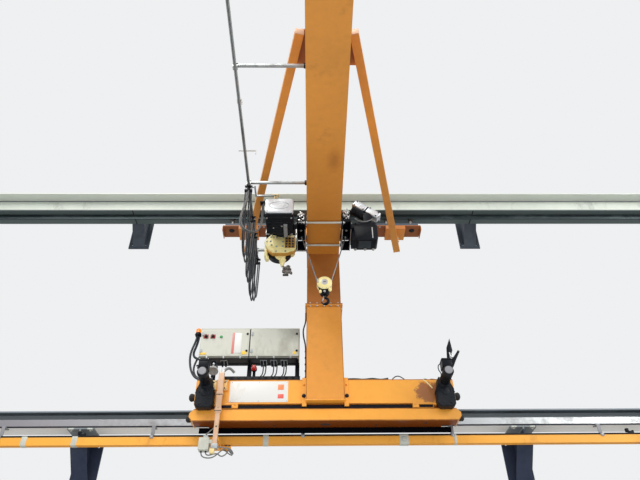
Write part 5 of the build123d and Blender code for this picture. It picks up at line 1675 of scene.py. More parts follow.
        screws = b.bolts(10, [(x + dx, y - 53.5, z + dz) for dx, dz in ((-168, -34), (-168, 36), (158, -34),
            (158, 36), (-30, -36), (30, 38))], Y, False)
        self.fit(b.turn(screws, tilt, (0, 1, 0), (x, y, z)), "casing_screws", "black_paint")

    PARTS = (plates, rods, hardware, wheels, ballast, travel_drive)


@dataclass
class HoistUnit(Assembly):
    """The rope hoist left of the jib: cover, housing, drum and gear case.

    Attributes:
        left: Left side of the cover.
        right: Right side of the cover.
        front: Front of the cover.
        low: Underside of cover and housing.
        high: Their top.
    """

    body: str = "trolley"
    left: float = -712
    right: float = -368
    front: float = -1750
    low: float = 2372
    high: float = 2622

    def cover(self) -> None:
        """A bright cover with rounded corners and a plain oval raised on it."""
        b = self.bench
        r, low = 42, self.low + 22
        centres = ((self.right - r, self.high - r, 0), (self.left + r, self.high - r, 90),
            (self.left + r, low + r, 180), (self.right - r, low + r, 270))
        outline = [(cx + r * math.cos(math.radians(a + 15 * i)),
            cz + r * math.sin(math.radians(a + 15 * i))) for cx, cz, a in centres for i in range(7)]
        shell = b.prism(outline, self.front + 4, -1690, Y, 12)
        middle = ((self.left + self.right) / 2, self.front + 5, (low + self.high) / 2)
        oval = b.sphere(middle, 100, (1.12, 0.04, 0.54), 40)
        self.fit([shell, oval], "hoist_cover", "hoist_cover", "hoist_panel")
        face = (middle[0], self.front + 4.5, middle[2])
        groove = b.squash(b.ring(face, 100, 3.5, Y, 48), (1.16, 1, 0.58), face)
        hollow = b.sphere((middle[0] + 40, middle[1] - 2.5, middle[2]), 100, (0.38, 0.022, 0.3), 32)
        self.fit([groove, hollow], "cover_oval", "alloy")
        screws = b.round((0, self.front + 4, 0), 7, 4, Y, 1, 6)
        places = [(x, 0, z) for x in (self.left + 30, self.right - 30) for z in (low + 30, self.high - 30)]
        self.fit(b.spread(screws, places), "cover_screws", "zinc")

    def housing(self) -> None:
        """A dark housing with ribs below, a gland for the cables and a hanging strap."""
        b = self.bench
        x0, x1, y0, y1 = self.left + 6, self.right - 6, -1692, -1360
        box = b.block((x0, y0, self.low), (x1, y1, self.high), 18, 3)
        parts = [box, b.block((x0 + 12, self.front + 20, self.low),
            (x1 - 12, y0 + 10, self.low + 60), 10, 3)]
        for i in range(6):
            y = y0 + 55 + 45 * i
            parts.append(b.block((x0 + 30, y, self.low - 5), (x1 - 30, y + 12, self.low + 4), 2))
        for y in (y0 + 12, y1 - 24):
            parts.append(b.block((x0 - 4, y, self.low - 3), (x1 + 4, y + 14, self.high + 4), 4))
        gland = b.block((-779, -1690, 2606), (-700, -1630, 2634), 4)
        parts.append(gland)
        self.fit(parts, "hoist_body", "black_paint", "hoist_housing")
        nut = b.round((0, 0, 2603), 10.5, 10, Z, 1, 6)
        self.fit(b.spread(nut, [(-749, -1660, 0), (-733, -1676, 0)]), "cable_nuts", "black_paint")
        places = [(x, y, self.low - 3) for x in (x0 + 20, x1 - 20) for y in (y0 + 19, y1 - 17)]
        places += [(x0 + 90, y0 + 200, self.low), (x1 - 140, y0 + 170, self.low)]
        self.fit(b.bolts(10, places, DOWN), "housing_bolts", "zinc")
        strap = b.prism([(-1560, 2368), (-1545, 2352), (-1350, 2352), (-1330, 2362), (-1330, 2358),
            (-1345, 2346), (-1552, 2346), (-1568, 2366)], -492, -446, X, 1)
        self.fit(strap, "grey_strap", "grey_sheath")
        lever = b.block((-612, -1735, 2620), (-566, -1700, 2688), 5)
        grip = b.block((-632, -1741, 2684), (-552, -1694, 2702), 6)
        self.fit([lever, grip], "cable_fork", "gear_paint")

    def drum(self) -> None:
        """A grooved drum between two flanges, above the line from the housing to the gear case."""
        b = self.bench
        start, length, r = -1150, 210, 90
        profile = [(0, 0), (95, 0), (95, 14)]
        grooves = 14
        pitch = (length - 34) / grooves
        for i in range(grooves):
            h = 16 + i * pitch
            profile += [(r - 4, h), (r, h + pitch * 0.35), (r, h + pitch * 0.65), (r - 4, h + pitch * 0.98)]
        profile += [(95, length - 14), (95, length), (0, length)]
        self.fit(b.lathe((-540, start, 2602), profile, Y, 48), "grooved_drum",
            "dark_iron", "rope_drum", smooth=30)
        rods = [b.round((x, start - length / 2, z), 9, length + 4, Y, 0, 18)
            for x, z in ((-655, 2535), (-425, 2535), (-655, 2602), (-425, 2602))]
        self.fit(rods, "spacer_rods", "zinc", smooth=50)
        shroud = [b.block((x - 4, start - length + 30, 2545),
            (x + 4, start - 30, 2640), 2) for x in (-640, -440)]
        self.fit(shroud, "rope_guide", "black_paint")

    def gear_case(self) -> None:
        """A cut-cornered gear case with a bolted cover, a grille, a round opening and lumps below."""
        b = self.bench
        front, back = -1150, -1000
        outline = [(-750, 2436), (-742, 2462), (-690, 2532), (-672, 2545), (-372, 2545), (-350, 2526),
            (-350, 2330), (-372, 2296), (-470, 2262), (-640, 2262), (-712, 2330), (-746, 2410)]
        plate = b.prism(outline, front + 6, front + 60, Y, 6)
        inner = [(-555 + (px + 555) * 0.93, 2400 + (pz - 2400) * 0.93) for px, pz in outline]
        rear = b.prism(inner, front + 58, back, Y, 6)
        upper = b.block((-735, front + 12, 2530), (-362, back, 2698), 20, 3)
        cleats = [b.block((px - 8, front - 3, low), (px + 8, front + 10, high), 2)
            for px, low, high in ((-730, 2550, 2650), (-346, 2388, 2674))]
        self.fit(upper, "gear_rear", "black_paint")
        self.fit(cleats, "gear_cleats", "zinc")
        ear = b.block((-748, front + 50, 2240), (-706, back - 10, 2420), 10, 3)
        foot = b.block((-735, front + 60, 2205), (-690, back - 20, 2262), 12, 3)
        self.fit([plate, rear, ear, foot], "gear_shell", "gear_paint", "hoist_gear_case")
        cover = [(-688, 2505), (-672, 2522), (-512, 2522), (-500, 2508), (-500, 2352),
            (-512, 2338), (-655, 2338), (-688, 2372)]
        self.fit(b.prism(cover, front, front + 12, Y, 4), "gear_lid", "gear_paint")
        places = [(px, front + 1, pz) for px, pz in ((-670, 2506), (-595, 2508), (-516, 2504), (-672, 2440),
            (-515, 2430), (-660, 2378), (-595, 2354), (-516, 2356))]
        places += [(px, front + 7, pz)
            for px, pz in ((-716, 2442), (-374, 2520), (-600, 2284), (-480, 2284))]
        self.fit(b.bolts(11, places), "gear_bolts", "galvanised")
        frame = b.block((-490, front + 1, 2334), (-362, front + 10, 2506), 3)
        self.fit(frame, "grille_frame", "gold_paint")
        hole = b.block((-13.5, -0.6, -14.5), (13.5, 2, 14.5), 0)
        places = [(-470 + 40.5 * i, front + 0.8, 2356 + 42.5 * j) for i in range(3) for j in range(4)]
        self.fit(b.spread(hole, places), "grille_slots", "cabinet_shadow")
        band = b.prism([(-640, 2262), (-470, 2262), (-372, 2296), (-352, 2330), (-352, 2312), (-372, 2278),
            (-470, 2242), (-645, 2242), (-718, 2312), (-712, 2330)], front + 12, front + 56, Y, 2)
        self.fit(band, "gear_band", "gold_paint")
        ring = b.lathe((-560, back, 2345),
            [(0, 4), (90, 4), (118, 0), (150, 0), (155, 6), (155, 84), (0, 84)], Y, 48)
        self.fit(ring, "gear_bell", "dark_iron")
        lump = b.prism([(-615, 2292), (-475, 2292), (-468, 2262), (-492, 2205), (-560, 2189), (-600, 2215),
            (-622, 2262)], front + 55, back - 15, Y, 8)
        self.fit(lump, "gear_lump", "gear_paint")
        spout = b.lathe((-520, -1060, 2100),
            [(0, 0), (12, 0), (16, 10), (36, 75), (48, 110), (0, 110)], Z, 24)
        self.fit(spout, "gear_spout", "gear_paint")

    def load_switch(self) -> None:
        """A cluster of clamps, nuts and a small ring that hangs below the gear case."""
        b = self.bench
        x, y = -452, -1075
        parts = [b.round((x - 30, y, 2070), 20, 60, X, 4, 24), b.round((x + 10, y - 12, 2075), 30, 22, Y, 4,
            6), b.round((x + 12, y, 2020), 24, 70, X, 5, 24), b.round((x - 45, y - 10, 2010), 22, 34, Y, 4,
            6), b.round((x + 48, y - 4, 1990), 17, 30, Y, 4, 6),
            b.round((x - 10, y - 14, 1978), 16, 26, Y, 4, 20),
            b.block((x - 50, y - 16, 1990), (x + 50, y + 16, 2060), 10, 3),
            b.pipe([(x - 60, y, 2105), (x - 40, y, 2080), (x - 10, y, 2062)], 9)]
        self.fit(parts, "load_switch", "wheel_steel")
        dark = [b.block((x - 56, y - 12, 1952), (x + 16, y + 12, 1974), 6, 3),
            b.round((x - 36, y - 20, 2046), 9, 12, Y, 2, 16),
            b.round((x + 24, y - 20, 2040), 9, 12, Y, 2, 16)]
        self.fit(dark, "load_switch_dark", "cabinet_shadow")

    PARTS = (cover, housing, drum, gear_case, load_switch)


@dataclass
class HookBlock(Assembly):
    """The sheave block, its rope falls and the hook.

    Attributes:
        y: Plane of the ropes.
        z: Height of the sheave's axis.
        radius: Radius of the sheave cover.
        depth: Depth of the cover.
    """

    body: str = "block"
    y: float = -1200
    z: float = 1733
    radius: float = 90
    depth: float = 110

    def block_body(self) -> None:
        """Two domed covers round the sheave, a hub, the cheeks and the pivot lumps."""
        b = self.bench
        half, r = self.depth / 2, self.radius
        cup, core = half - 30, r - 14
        profile = [(0, half), (50, half), (60, half - 4), (78, half - 9), (r, half - 18),
            (r, cup + 4), (r - 6, cup), (0, cup)]
        covers = [b.lathe((0, self.y, self.z), profile, axis, 48) for axis in (Y, BACK)]
        self.fit(covers, "sheave_covers", "gear_paint", "hook_block", smooth=40)
        inner = [b.lathe((0, self.y, self.z), [(0, cup + 1), (core, cup + 1), (core, 12), (0, 12)],
            axis, 36) for axis in (Y, BACK)]
        self.fit(inner, "sheave_cheeks", "black_paint", smooth=40)
        sheave = b.lathe((0, self.y + 11.5, self.z),
            [(0, 0), (84, 0), (86, 4), (70, 11.5), (86, 19), (84, 23), (0, 23)], Y, 48)
        self.fit(sheave, "rope_sheave", "wheel_steel")
        hubs = []
        for sign, axis in ((-1, Y), (1, BACK)):
            start = self.y + sign * (half - 1)
            hubs.append(b.lathe((0, start, self.z),
                [(0, 2), (18, 2), (20, 4), (36, 5), (41, 3), (42, 0), (0, 0)], axis, 32))
        self.fit(hubs, "sheave_hubs", "alloy")
        slot = [b.block((-16, self.y + s * (half + 1.6) - 1, self.z - 4),
            (16, self.y + s * (half + 1.6) + 1, self.z + 4), 0) for s in (-1, 1)]
        self.fit(slot, "hub_slots", "black_paint")
        low = 1575
        cheeks = [(-66, 1680), (66, 1680), (62, 1640), (52, 1600), (36, low + 1),
            (-36, low + 1), (-52, 1600), (-62, 1640)]
        parts = []
        for s in (-1, 1):
            near, far = sorted((self.y + s * 14, self.y + s * 34))
            parts.append(b.prism(cheeks, near, far, Y, 5))
        parts.append(b.round((0, self.y, 1622), 26, 110, X, 4, 28))
        parts.append(b.block((-34, self.y - 32, low + 1), (34, self.y + 32, 1640), 10, 3))
        self.fit(parts, "block_cheeks", "black_paint")
        lumps = [b.sphere((px, self.y - 38, pz), size, (0.9, 0.7, 1.25), 20)
            for px, pz, size in ((-50, 1606, 19), (64, 1634, 24))]
        self.fit(lumps, "block_lumps", "gear_paint")
        pins = b.bolts(12, [(dx, self.y - 34, z) for dx, z in ((-22, 1662), (22, 1662), (0, 1612))])
        self.fit(pins, "cheek_bolts", "zinc")
        arm = b.join(b.block((-88, self.y - 50, self.z + 10), (-70, self.y - 30, self.z + 50), 5),
            b.round((-78, self.y - 44, self.z + 4), 12, 20, Y, 3, 20))
        self.fit(arm, "rope_lug", "galvanised")

    def hook(self) -> None:
        """A forged hook with a tapered bowl, a shank, a nut and a safety latch."""
        b = self.bench
        top, shank, r, wire = 1574.7, 1539.7, 42, 17
        middle, steps, sides = shank - r, 40, 20
        turns = [math.tau * j / sides for j in range(sides)]
        rings = []
        for i in range(steps + 1):
            t = i / steps
            angle = math.radians(90 - 250 * t)
            swell, taper = math.sin(math.pi * min(1.0, t * 1.15)), max(0.0, t - 0.72) / 0.28
            thick = wire * (0.85 + 0.30 * swell - 0.62 * taper)
            out = Vector((math.cos(angle), 0, math.sin(angle)))
            centre = Vector((0, self.y, middle)) + out * r
            rings.append([centre + out * thick * 0.92 * math.cos(a)
                + Vector((0, thick * math.sin(a), 0)) for a in turns])
        bowl = b.skin("bowl", [rings])
        tall = top - shank + 4
        stem = b.lathe((0, self.y, shank - 4), [(0, 0), (15, 0), (17, 10), (15, 18), (17, 26),
            (17, tall), (0, tall)], Z, 28)
        collar = b.lathe((0, self.y, top - 14),
            [(0, 0), (16.5, 0), (17, 3), (17, 11), (16.5, 14), (0, 14)], Z, 6)
        self.fit([bowl, stem, collar], "load_hook", "black_paint", "hook", body="hook", smooth=50)
        tip = math.radians(90 - 250)
        x1, z1 = (r - 4) * math.cos(tip), middle + (r - 4) * math.sin(tip) + 4
        x0, z0 = -10, shank + 4
        outline = [(x0 - 6, z0), (x0 + 6, z0 - 4), (x1 + 12, z1 + 2), (x1 + 4, z1 + 8)]
        blade = b.prism(outline, self.y - 9, self.y + 9, Y, 1)
        pin = b.round((x0, self.y, z0), 5, 44, Y, 1, 14)
        self.fit([blade, pin], "hook_latch", "galvanised", body="hook")

    def ropes(self) -> None:
        """Four stranded falls that stretch from the trolley to the block."""
        b = self.bench
        steps, sides, strand, beside = 48, 12, 4.5, Vector((0, 1, 0))
        falls = [(side, dy) for side in (-1, 1) for dy in (-16, 16)]
        tubes = []
        for side, dy in falls:
            high = Vector((side * 275, self.y + dy, 2453))
            low = Vector((side * 80, self.y + dy, 1765))
            across = (low - high).normalized().cross(beside).normalized()
            rings = []
            for i in range(steps + 1):
                middle, twist, ring = high.lerp(low, i / steps), math.tau * i / 8, []
                for j in range(sides):
                    a = math.tau * j / sides
                    r = strand * (0.93 + 0.07 * math.cos(6 * (a - twist)))
                    ring.append(middle + across * r * math.cos(a) + beside * r * math.sin(a))
                rings.append(ring)
            tubes.append(rings)
        ropes = b.skin("rope_falls", tubes)
        ropes.data.transform(Matrix.Translation((self.origin, 0, 0)))
        self.paint(ropes, "rope_wire", smooth=60)
        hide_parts("hoist_ropes")
        high, low = ((self.origin, self.y * MM, z * MM) for z in (2451, self.z))
        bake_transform(ropes)
        cup = [(0, 0), (8, 0), (12, 10), (12, 16), (0, 16)]
        sockets = [b.lathe((side * 275, self.y + dy, 2440), cup, Z, 16) for side, dy in falls]
        self.fit(sockets, "rope_sockets", "zinc", body="trolley")

    PARTS = (block_body, hook, ropes)


@dataclass
class FestoonRail(Assembly):
    """The cable track beside the jib, its arms, its clamp and the cable carriers.

    Attributes:
        x: The track's place.
        low: Underside of the track.
        high: Top of the track.
        near: Its end at the wall.
        far: Its end at the jib's tip.
    """

    x: float = -905
    low: float = 2690
    high: float = 2720
    near: float = -420
    far: float = -6000

    def rail(self) -> None:
        """A rolled C-shaped track with end stops, on arms that are clamped to the jib."""
        b = self.bench
        half, wall = 15, 2.5
        section = [(-half, self.low), (-half, self.high), (half, self.high), (half, self.low),
            (half - 8, self.low), (half - 8, self.low + wall), (half - wall, self.low + wall),
            (half - wall, self.high - wall), (-half + wall, self.high - wall),
            (-half + wall, self.low + wall), (-half + 8, self.low + wall), (-half + 8, self.low)]
        track = b.prism([(self.x + px, pz) for px, pz in section], self.near, self.far, Y, 0.6)
        self.fit(track, "c_track", "galvanised", "festoon_track", smooth=30)
        arms, clamps, pads = [], [], []
        inner = -140
        for y in (-600, -1900, -3525, -5150):
            arms.append(b.block((self.x - 30, y - 15, self.high), (inner, y + 15, self.high + 30), 3))
            clamps.append(b.block((self.x - 24, y - 22, self.low - 1),
                (self.x - 15.5, y + 22, self.high + 2), 2))
            clamps.append(b.block((self.x + 15.5, y - 22, self.low - 1),
                (self.x + 24, y + 22, self.high + 2), 2))
            clamps.append(b.block((self.x - 28, y - 24, self.high + 29.5),
                (self.x + 28, y + 24, self.high + 34), 1))
            pads.append(b.block((inner - 12, y - 45, self.high - 40),
                (inner - 0.5, y + 45, self.high + 70), 3))
        self.fit(arms, "track_arms", "galvanised")
        self.fit(clamps, "track_clamps", "zinc")
        self.fit(pads, "arm_pads", "dark_iron")
        spots = [(inner - 12, y + dy, self.high + dz) for y in (-600, -1900, -3525, -5150)
            for dy in (-30, 30) for dz in (-26, 56)]
        self.fit(b.bolts(10, spots, LEFT), "arm_bolts", "zinc")
        stop = b.block((-19, -20, 0), (19, 20, 33.5), 3)
        self.fit(b.spread(stop, [(self.x, y, self.low - 1.5)
            for y in (self.near - 20, self.far + 21)]), "track_stops", "rubber")

    def carrier(self, name: str, y: float, body: str, *nodes: str) -> None:
        """One carrier: a plate under the track, a neck, and a saddle with lips, on bolts with nuts.

        Args:
            name: What its pieces are called.
            y: Where it hangs.
            body: The body that it rides on.
            nodes: The nodes that it stands for.
        """
        b = self.bench
        top, saddle_z, r = self.low - 0.5, 2619.7, 19.5
        plate = b.block((self.x - 46, y - 22, top - 8), (self.x + 46, y + 22, top), 3)
        neck = b.block((self.x - 18, y - 16, saddle_z), (self.x + 18, y + 16, top - 6), 3)
        saddle = b.round((self.x, y, saddle_z), r, 90, X, 3, 28)
        lips = [b.round((self.x + s * 43.5, y, saddle_z), r + 0.5, 4, X, 1, 28) for s in (-1, 1)]
        self.fit([plate, neck, saddle, *lips], name, "black_paint", *nodes, body=body)
        bolts = [b.round((self.x + dx, y, top - 26), 4.5, 34, Z, 1, 12) for dx in (-34, 34)]
        nuts = [b.round((self.x + dx, y, top - 12), 9, 7, Z, 1, 6) for dx in (-34, 34)]
        self.fit([*bolts, *nuts], f"{name}_bolts", "zinc", body=body)

    def tow(self) -> None:
        """The towing arm between the lead carrier and the trolley."""
        b = self.bench
        bars = [b.block((-862, -1890, 2672), (-822, -1872, 2688), 2),
            b.block((-840, -1890, 2670), (-820, -1722, 2690), 3),
            b.block((-840, -1740, 2670), (-578, -1722, 2690), 3),
            b.block((-597, -1740, 2622), (-579, -1722, 2690), 3)]
        self.fit(bars, "tow_arm", "galvanised", body="trolley")
        self.fit(b.bolts(10, [(-830, -1731, 2670), (-830, -1880, 2670)], DOWN),
            "tow_bolts", "zinc", body="trolley")

    def extras(self) -> None:
        """Small brackets, a clamp and a rod on the track and its arms."""
        b = self.bench
        bracket = [b.block((-978, -2430, self.high), (-780, -2410, self.high + 5), 1),
            b.block((-785, -2430, self.high - 55), (-780, -2410, self.high + 4), 1),
            b.block((-930, -3130, self.high), (-880, -3070, self.high + 10), 2),
            b.block((-876, -3115, self.low - 4), (-888.5, -3085, self.high + 10), 1)]
        self.fit(bracket, "track_brackets", "sign_sheet")
        self.fit(b.round((-453, -640, self.high + 12), 11, 150, X, 3, 20), "marker_rod", "arm_paint")
        tip = b.round((-358, -640, self.high + 12), 12, 40, X, 3, 20)
        grip = b.block((-470, -655, self.high + 4), (-436, -612, self.high + 34), 3)
        self.fit([tip, grip], "marker_tip", "rubber")
        clamp = b.block((-235, -1925, self.high - 6), (-185, -1875, self.high + 36), 5)
        self.fit(clamp, "arm_clamp", "dark_iron")
        strap = b.block((-230, -3545, self.high - 6), (-190, -3505, self.high + 36), 5)
        self.fit(strap, "arm_strap", "dark_iron")

    def build(self) -> None:
        """Builds the track and hangs the carriers."""
        self.rail()
        self.carrier("track_clamp_carrier", -450, "crane")
        self.carrier("carrier_a", -1003, "festoon_carrier_a", "festoon_carrier_1")
        self.carrier("carrier_b", -1327, "festoon_carrier_b", "festoon_carrier_2")
        self.carrier("lead_carrier", -1880, "trolley", "festoon_tow")
        self.tow()
        self.extras()


@dataclass
class RunwayDetails(Assembly):
    """Joints, hangers and bolts of the runway and its conductor line.

    Attributes:
        lines: Where the brackets stand.
    """

    body: str = "runway"
    origin: float = 0
    lines: tuple[float, ...] = (-5000, 0, 5000, 10000)

    def conductor(self) -> None:
        """Joint covers, clamps and end caps on the conductor line."""
        b = self.bench
        cover = b.block((-32, -534, 69), (32, -466, 174.5), 6)
        wide = b.block((-52, -535, 68), (52, -465, 175.5), 6)
        mark = b.round((0, -535.5, 122), 30, 2, Y, 0.5, 32)
        hub = b.round((0, -536.5, 122), 21, 2, Y, 0.5, 32)
        places = [(x, 0, 0) for x in (-553, -3, 2092, 7900)]
        self.fit([b.spread(cover, places), b.spread(wide, [(3618, 0, 0)])], "joint_covers", "cabinet_paint")
        self.fit(b.spread(mark, [(3618, 0, 0)]), "cover_rim", "horn_grey")
        self.fit(b.spread(hub, [(3618, 0, 0)]), "cover_hub", "cabinet_paint")
        narrow = b.block((-16, -534, 69), (16, -466, 174.5), 6)
        self.fit(b.spread(narrow, [(4187, 0, 0)]), "joint_strip", "cabinet_paint")
        claw = [b.block((-56, -525, 196), (-22, -490, 236), 6),
            b.block((-32, -525, 176), (20, -490, 206), 6), b.block((10, -520, 176), (34, -495, 216), 6)]
        self.fit(b.spread(b.join(*claw), [(x, 0, 0) for x in (69, 6173)]), "feed_claws", "black_paint")
        # A black band along the top of the conductor line.
        self.fit(b.block((-5120, -528, 168.5), (10120, -512, 182), 2), "conductor_black_band", "black_paint")
        cap = b.block((-18, -532, 70), (18, -468, 171), 6)
        self.fit(b.spread(cap, [(x, 0, 0) for x in (-5135, 10135)]), "conductor_caps", "cabinet_paint")
        self.fit(b.block((-5130, -532.5, 71.5), (10130, -529, 80), 1), "conductor_lip", "conductor_plastic")

    def hangers(self) -> None:
        """A grip on the conductor and a bolt through each hanger."""
        b = self.bench
        places = [-4167, -2500, -833, 833, 2500, 4167, 5833, 7500, 9167]
        grip = [b.block((-20, -537.5, 145), (20, -531, 176), 2),
            b.block((-20, -469, 145), (20, -462.5, 176), 2)]
        self.fit(b.spread(b.join(*grip), [(x, 0, 0) for x in places]), "hanger_grips", "galvanised")
        self.fit(b.bolts(8, [(x, -537.5, 161) for x in places]), "hanger_bolts", "zinc")

    def beam_joints(self) -> None:
        """Clips and bolts where the beams sit on their brackets, and the beams' splice plates."""
        b = self.bench
        clip = b.block((-30, -463, 282), (30, -420, 300), 4)
        self.fit(b.spread(clip, [(x + dx, 10, 0) for x in self.lines for dx in (-105, 105)]),
            "beam_clips", "upper_beam_paint")
        spots = [(x + dx, -425, 282) for x in self.lines for dx in (-105, 105)]
        self.fit(b.bolts(16, spots, DOWN), "clip_bolts", "zinc")
        seam = b.block((-8, -549, 3518.4), (8, -251, 3520.5), 0)
        self.fit(b.spread(seam, [(x - 20, 0, 0) for x in self.lines[1:3]]), "beam_seams", "rubber")

    PARTS = (conductor, hangers, beam_joints)


@dataclass
class FestoonCable(Assembly):
    """The cables that hang from the carriers, along the routes of the frame's own.

    Attributes:
        track_x: The track's place.
        clamp_y: Where the fixed clamp hangs.
        lead_y: Where the lead carrier hangs.
        saddle_z: Underside of the saddles.
        offset: From a carrier's middle to the legs that leave it.
        spread: From the middle of the bundle to each cable.
        radius: Radius of a cable.
        middle_share: How far along the way from clamp to lead carrier the first carrier hangs.
        loop_drops: How deep the loops hang.
        loop_lengths: The loops' own lengths.
        hoist_length: Length of a lead to the hoist.
        hoist_step: From one lead to the hoist to the other.
        LOOP: One half of a loop, as shares of its width and its drop.
        STRANDS: Name, place in the bundle and share of the drop of a loop's cables.
        TO_HOIST: A lead's way to the hoist, from the lead carrier.
    """

    track_x: float = CRANE_X - 0.905
    clamp_y: float = -0.450
    lead_y: float = -1.880
    saddle_z: float = 2.5994
    offset: float = 0.007
    spread: float = 0.015
    radius: float = 0.0085
    middle_share: float = 0.387
    loop_drops: tuple[float, ...] = (0.740, 0.790, 0.795)
    loop_lengths: tuple[float, ...] = (1.705, 1.679, 1.808)
    hoist_length: float = 1.469
    hoist_step: float = 0.016

    LOOP = ((0.0, 0.0), (0.005, 0.1), (0.019, 0.24), (0.05, 0.42), (0.093, 0.6),
            (0.144, 0.75), (0.209, 0.88), (0.36, 1.0))
    STRANDS = (("left", -1, 1.0), ("right", 1, 1.0), ("outer_left", -2.4, 0.90), ("outer_right", 2.4, 0.93))
    TO_HOIST = (
        (-0.008, -0.006, 0.0), (-0.009, -0.008, -0.080), (-0.022, -0.013, -0.180),
        (-0.042, -0.019, -0.290), (-0.060, -0.025, -0.400), (-0.063, -0.030, -0.505),
        (-0.036, -0.034, -0.594), (0.020, -0.035, -0.648), (0.084, -0.024, -0.660),
        (0.132, 0.008, -0.615), (0.156, 0.050, -0.530), (0.165, 0.094, -0.430),
        (0.165, 0.138, -0.330), (0.161, 0.178, -0.230), (0.157, 0.208, -0.135),
        (0.156, 0.220, -0.062), (0.156, 0.220, 0.0),
    )

    @property
    def carriers(self) -> list[float]:
        """Where the clamp and the three carriers hang."""
        reach = self.lead_y - self.clamp_y
        return [self.clamp_y + s * reach for s in (0, self.middle_share, 1 - self.middle_share, 1)]

    def loops(self) -> None:
        """Two cables in each loop, which stretch between the crane and the trolley."""
        whole = list(self.LOOP) + [(1 - a, d) for a, d in reversed(self.LOOP)]
        places = self.carriers
        for i, (drop, length) in enumerate(zip(self.loop_drops, self.loop_lengths)):
            near = places[i] - self.offset
            width = near - places[i + 1] - self.offset
            for name, side, share in self.STRANDS:
                x = self.track_x + side * self.spread
                points = [(x, near - a * width, self.saddle_z - d * drop * share) for a, d in whole]
                path = self.bench.line(points)
                tube = self.bench.solid(self.bench.route(points, self.radius))
                tube.name = f"cable_{i + 1}_{name}"
                self.paint(tube, "cable_sheath", smooth=60)
                if share == 1.0:
                    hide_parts(f"festoon_loop_{i + 1}_{name}")
                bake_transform(tube)

    def to_hoist(self) -> None:
        """Two cables from the lead carrier to the hoist's gland."""
        for i in range(2):
            shift = i * self.hoist_step
            points = [(self.track_x + x + shift, self.lead_y + y - shift, self.saddle_z + z)
                      for x, y, z in self.TO_HOIST]
            cable = self.bench.route(points, self.radius)
            cable.name = f"hoist_lead_{i + 1}"
            cable.data.materials.append(self.palette.material("worn_sheath"))
            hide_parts(f"hoist_cable_{i + 1}")
            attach(cable, "trolley")
            log.info("%s: hanging cable of %.3f m", cable.name, self.hoist_length)

    PARTS = (loops, to_hoist)


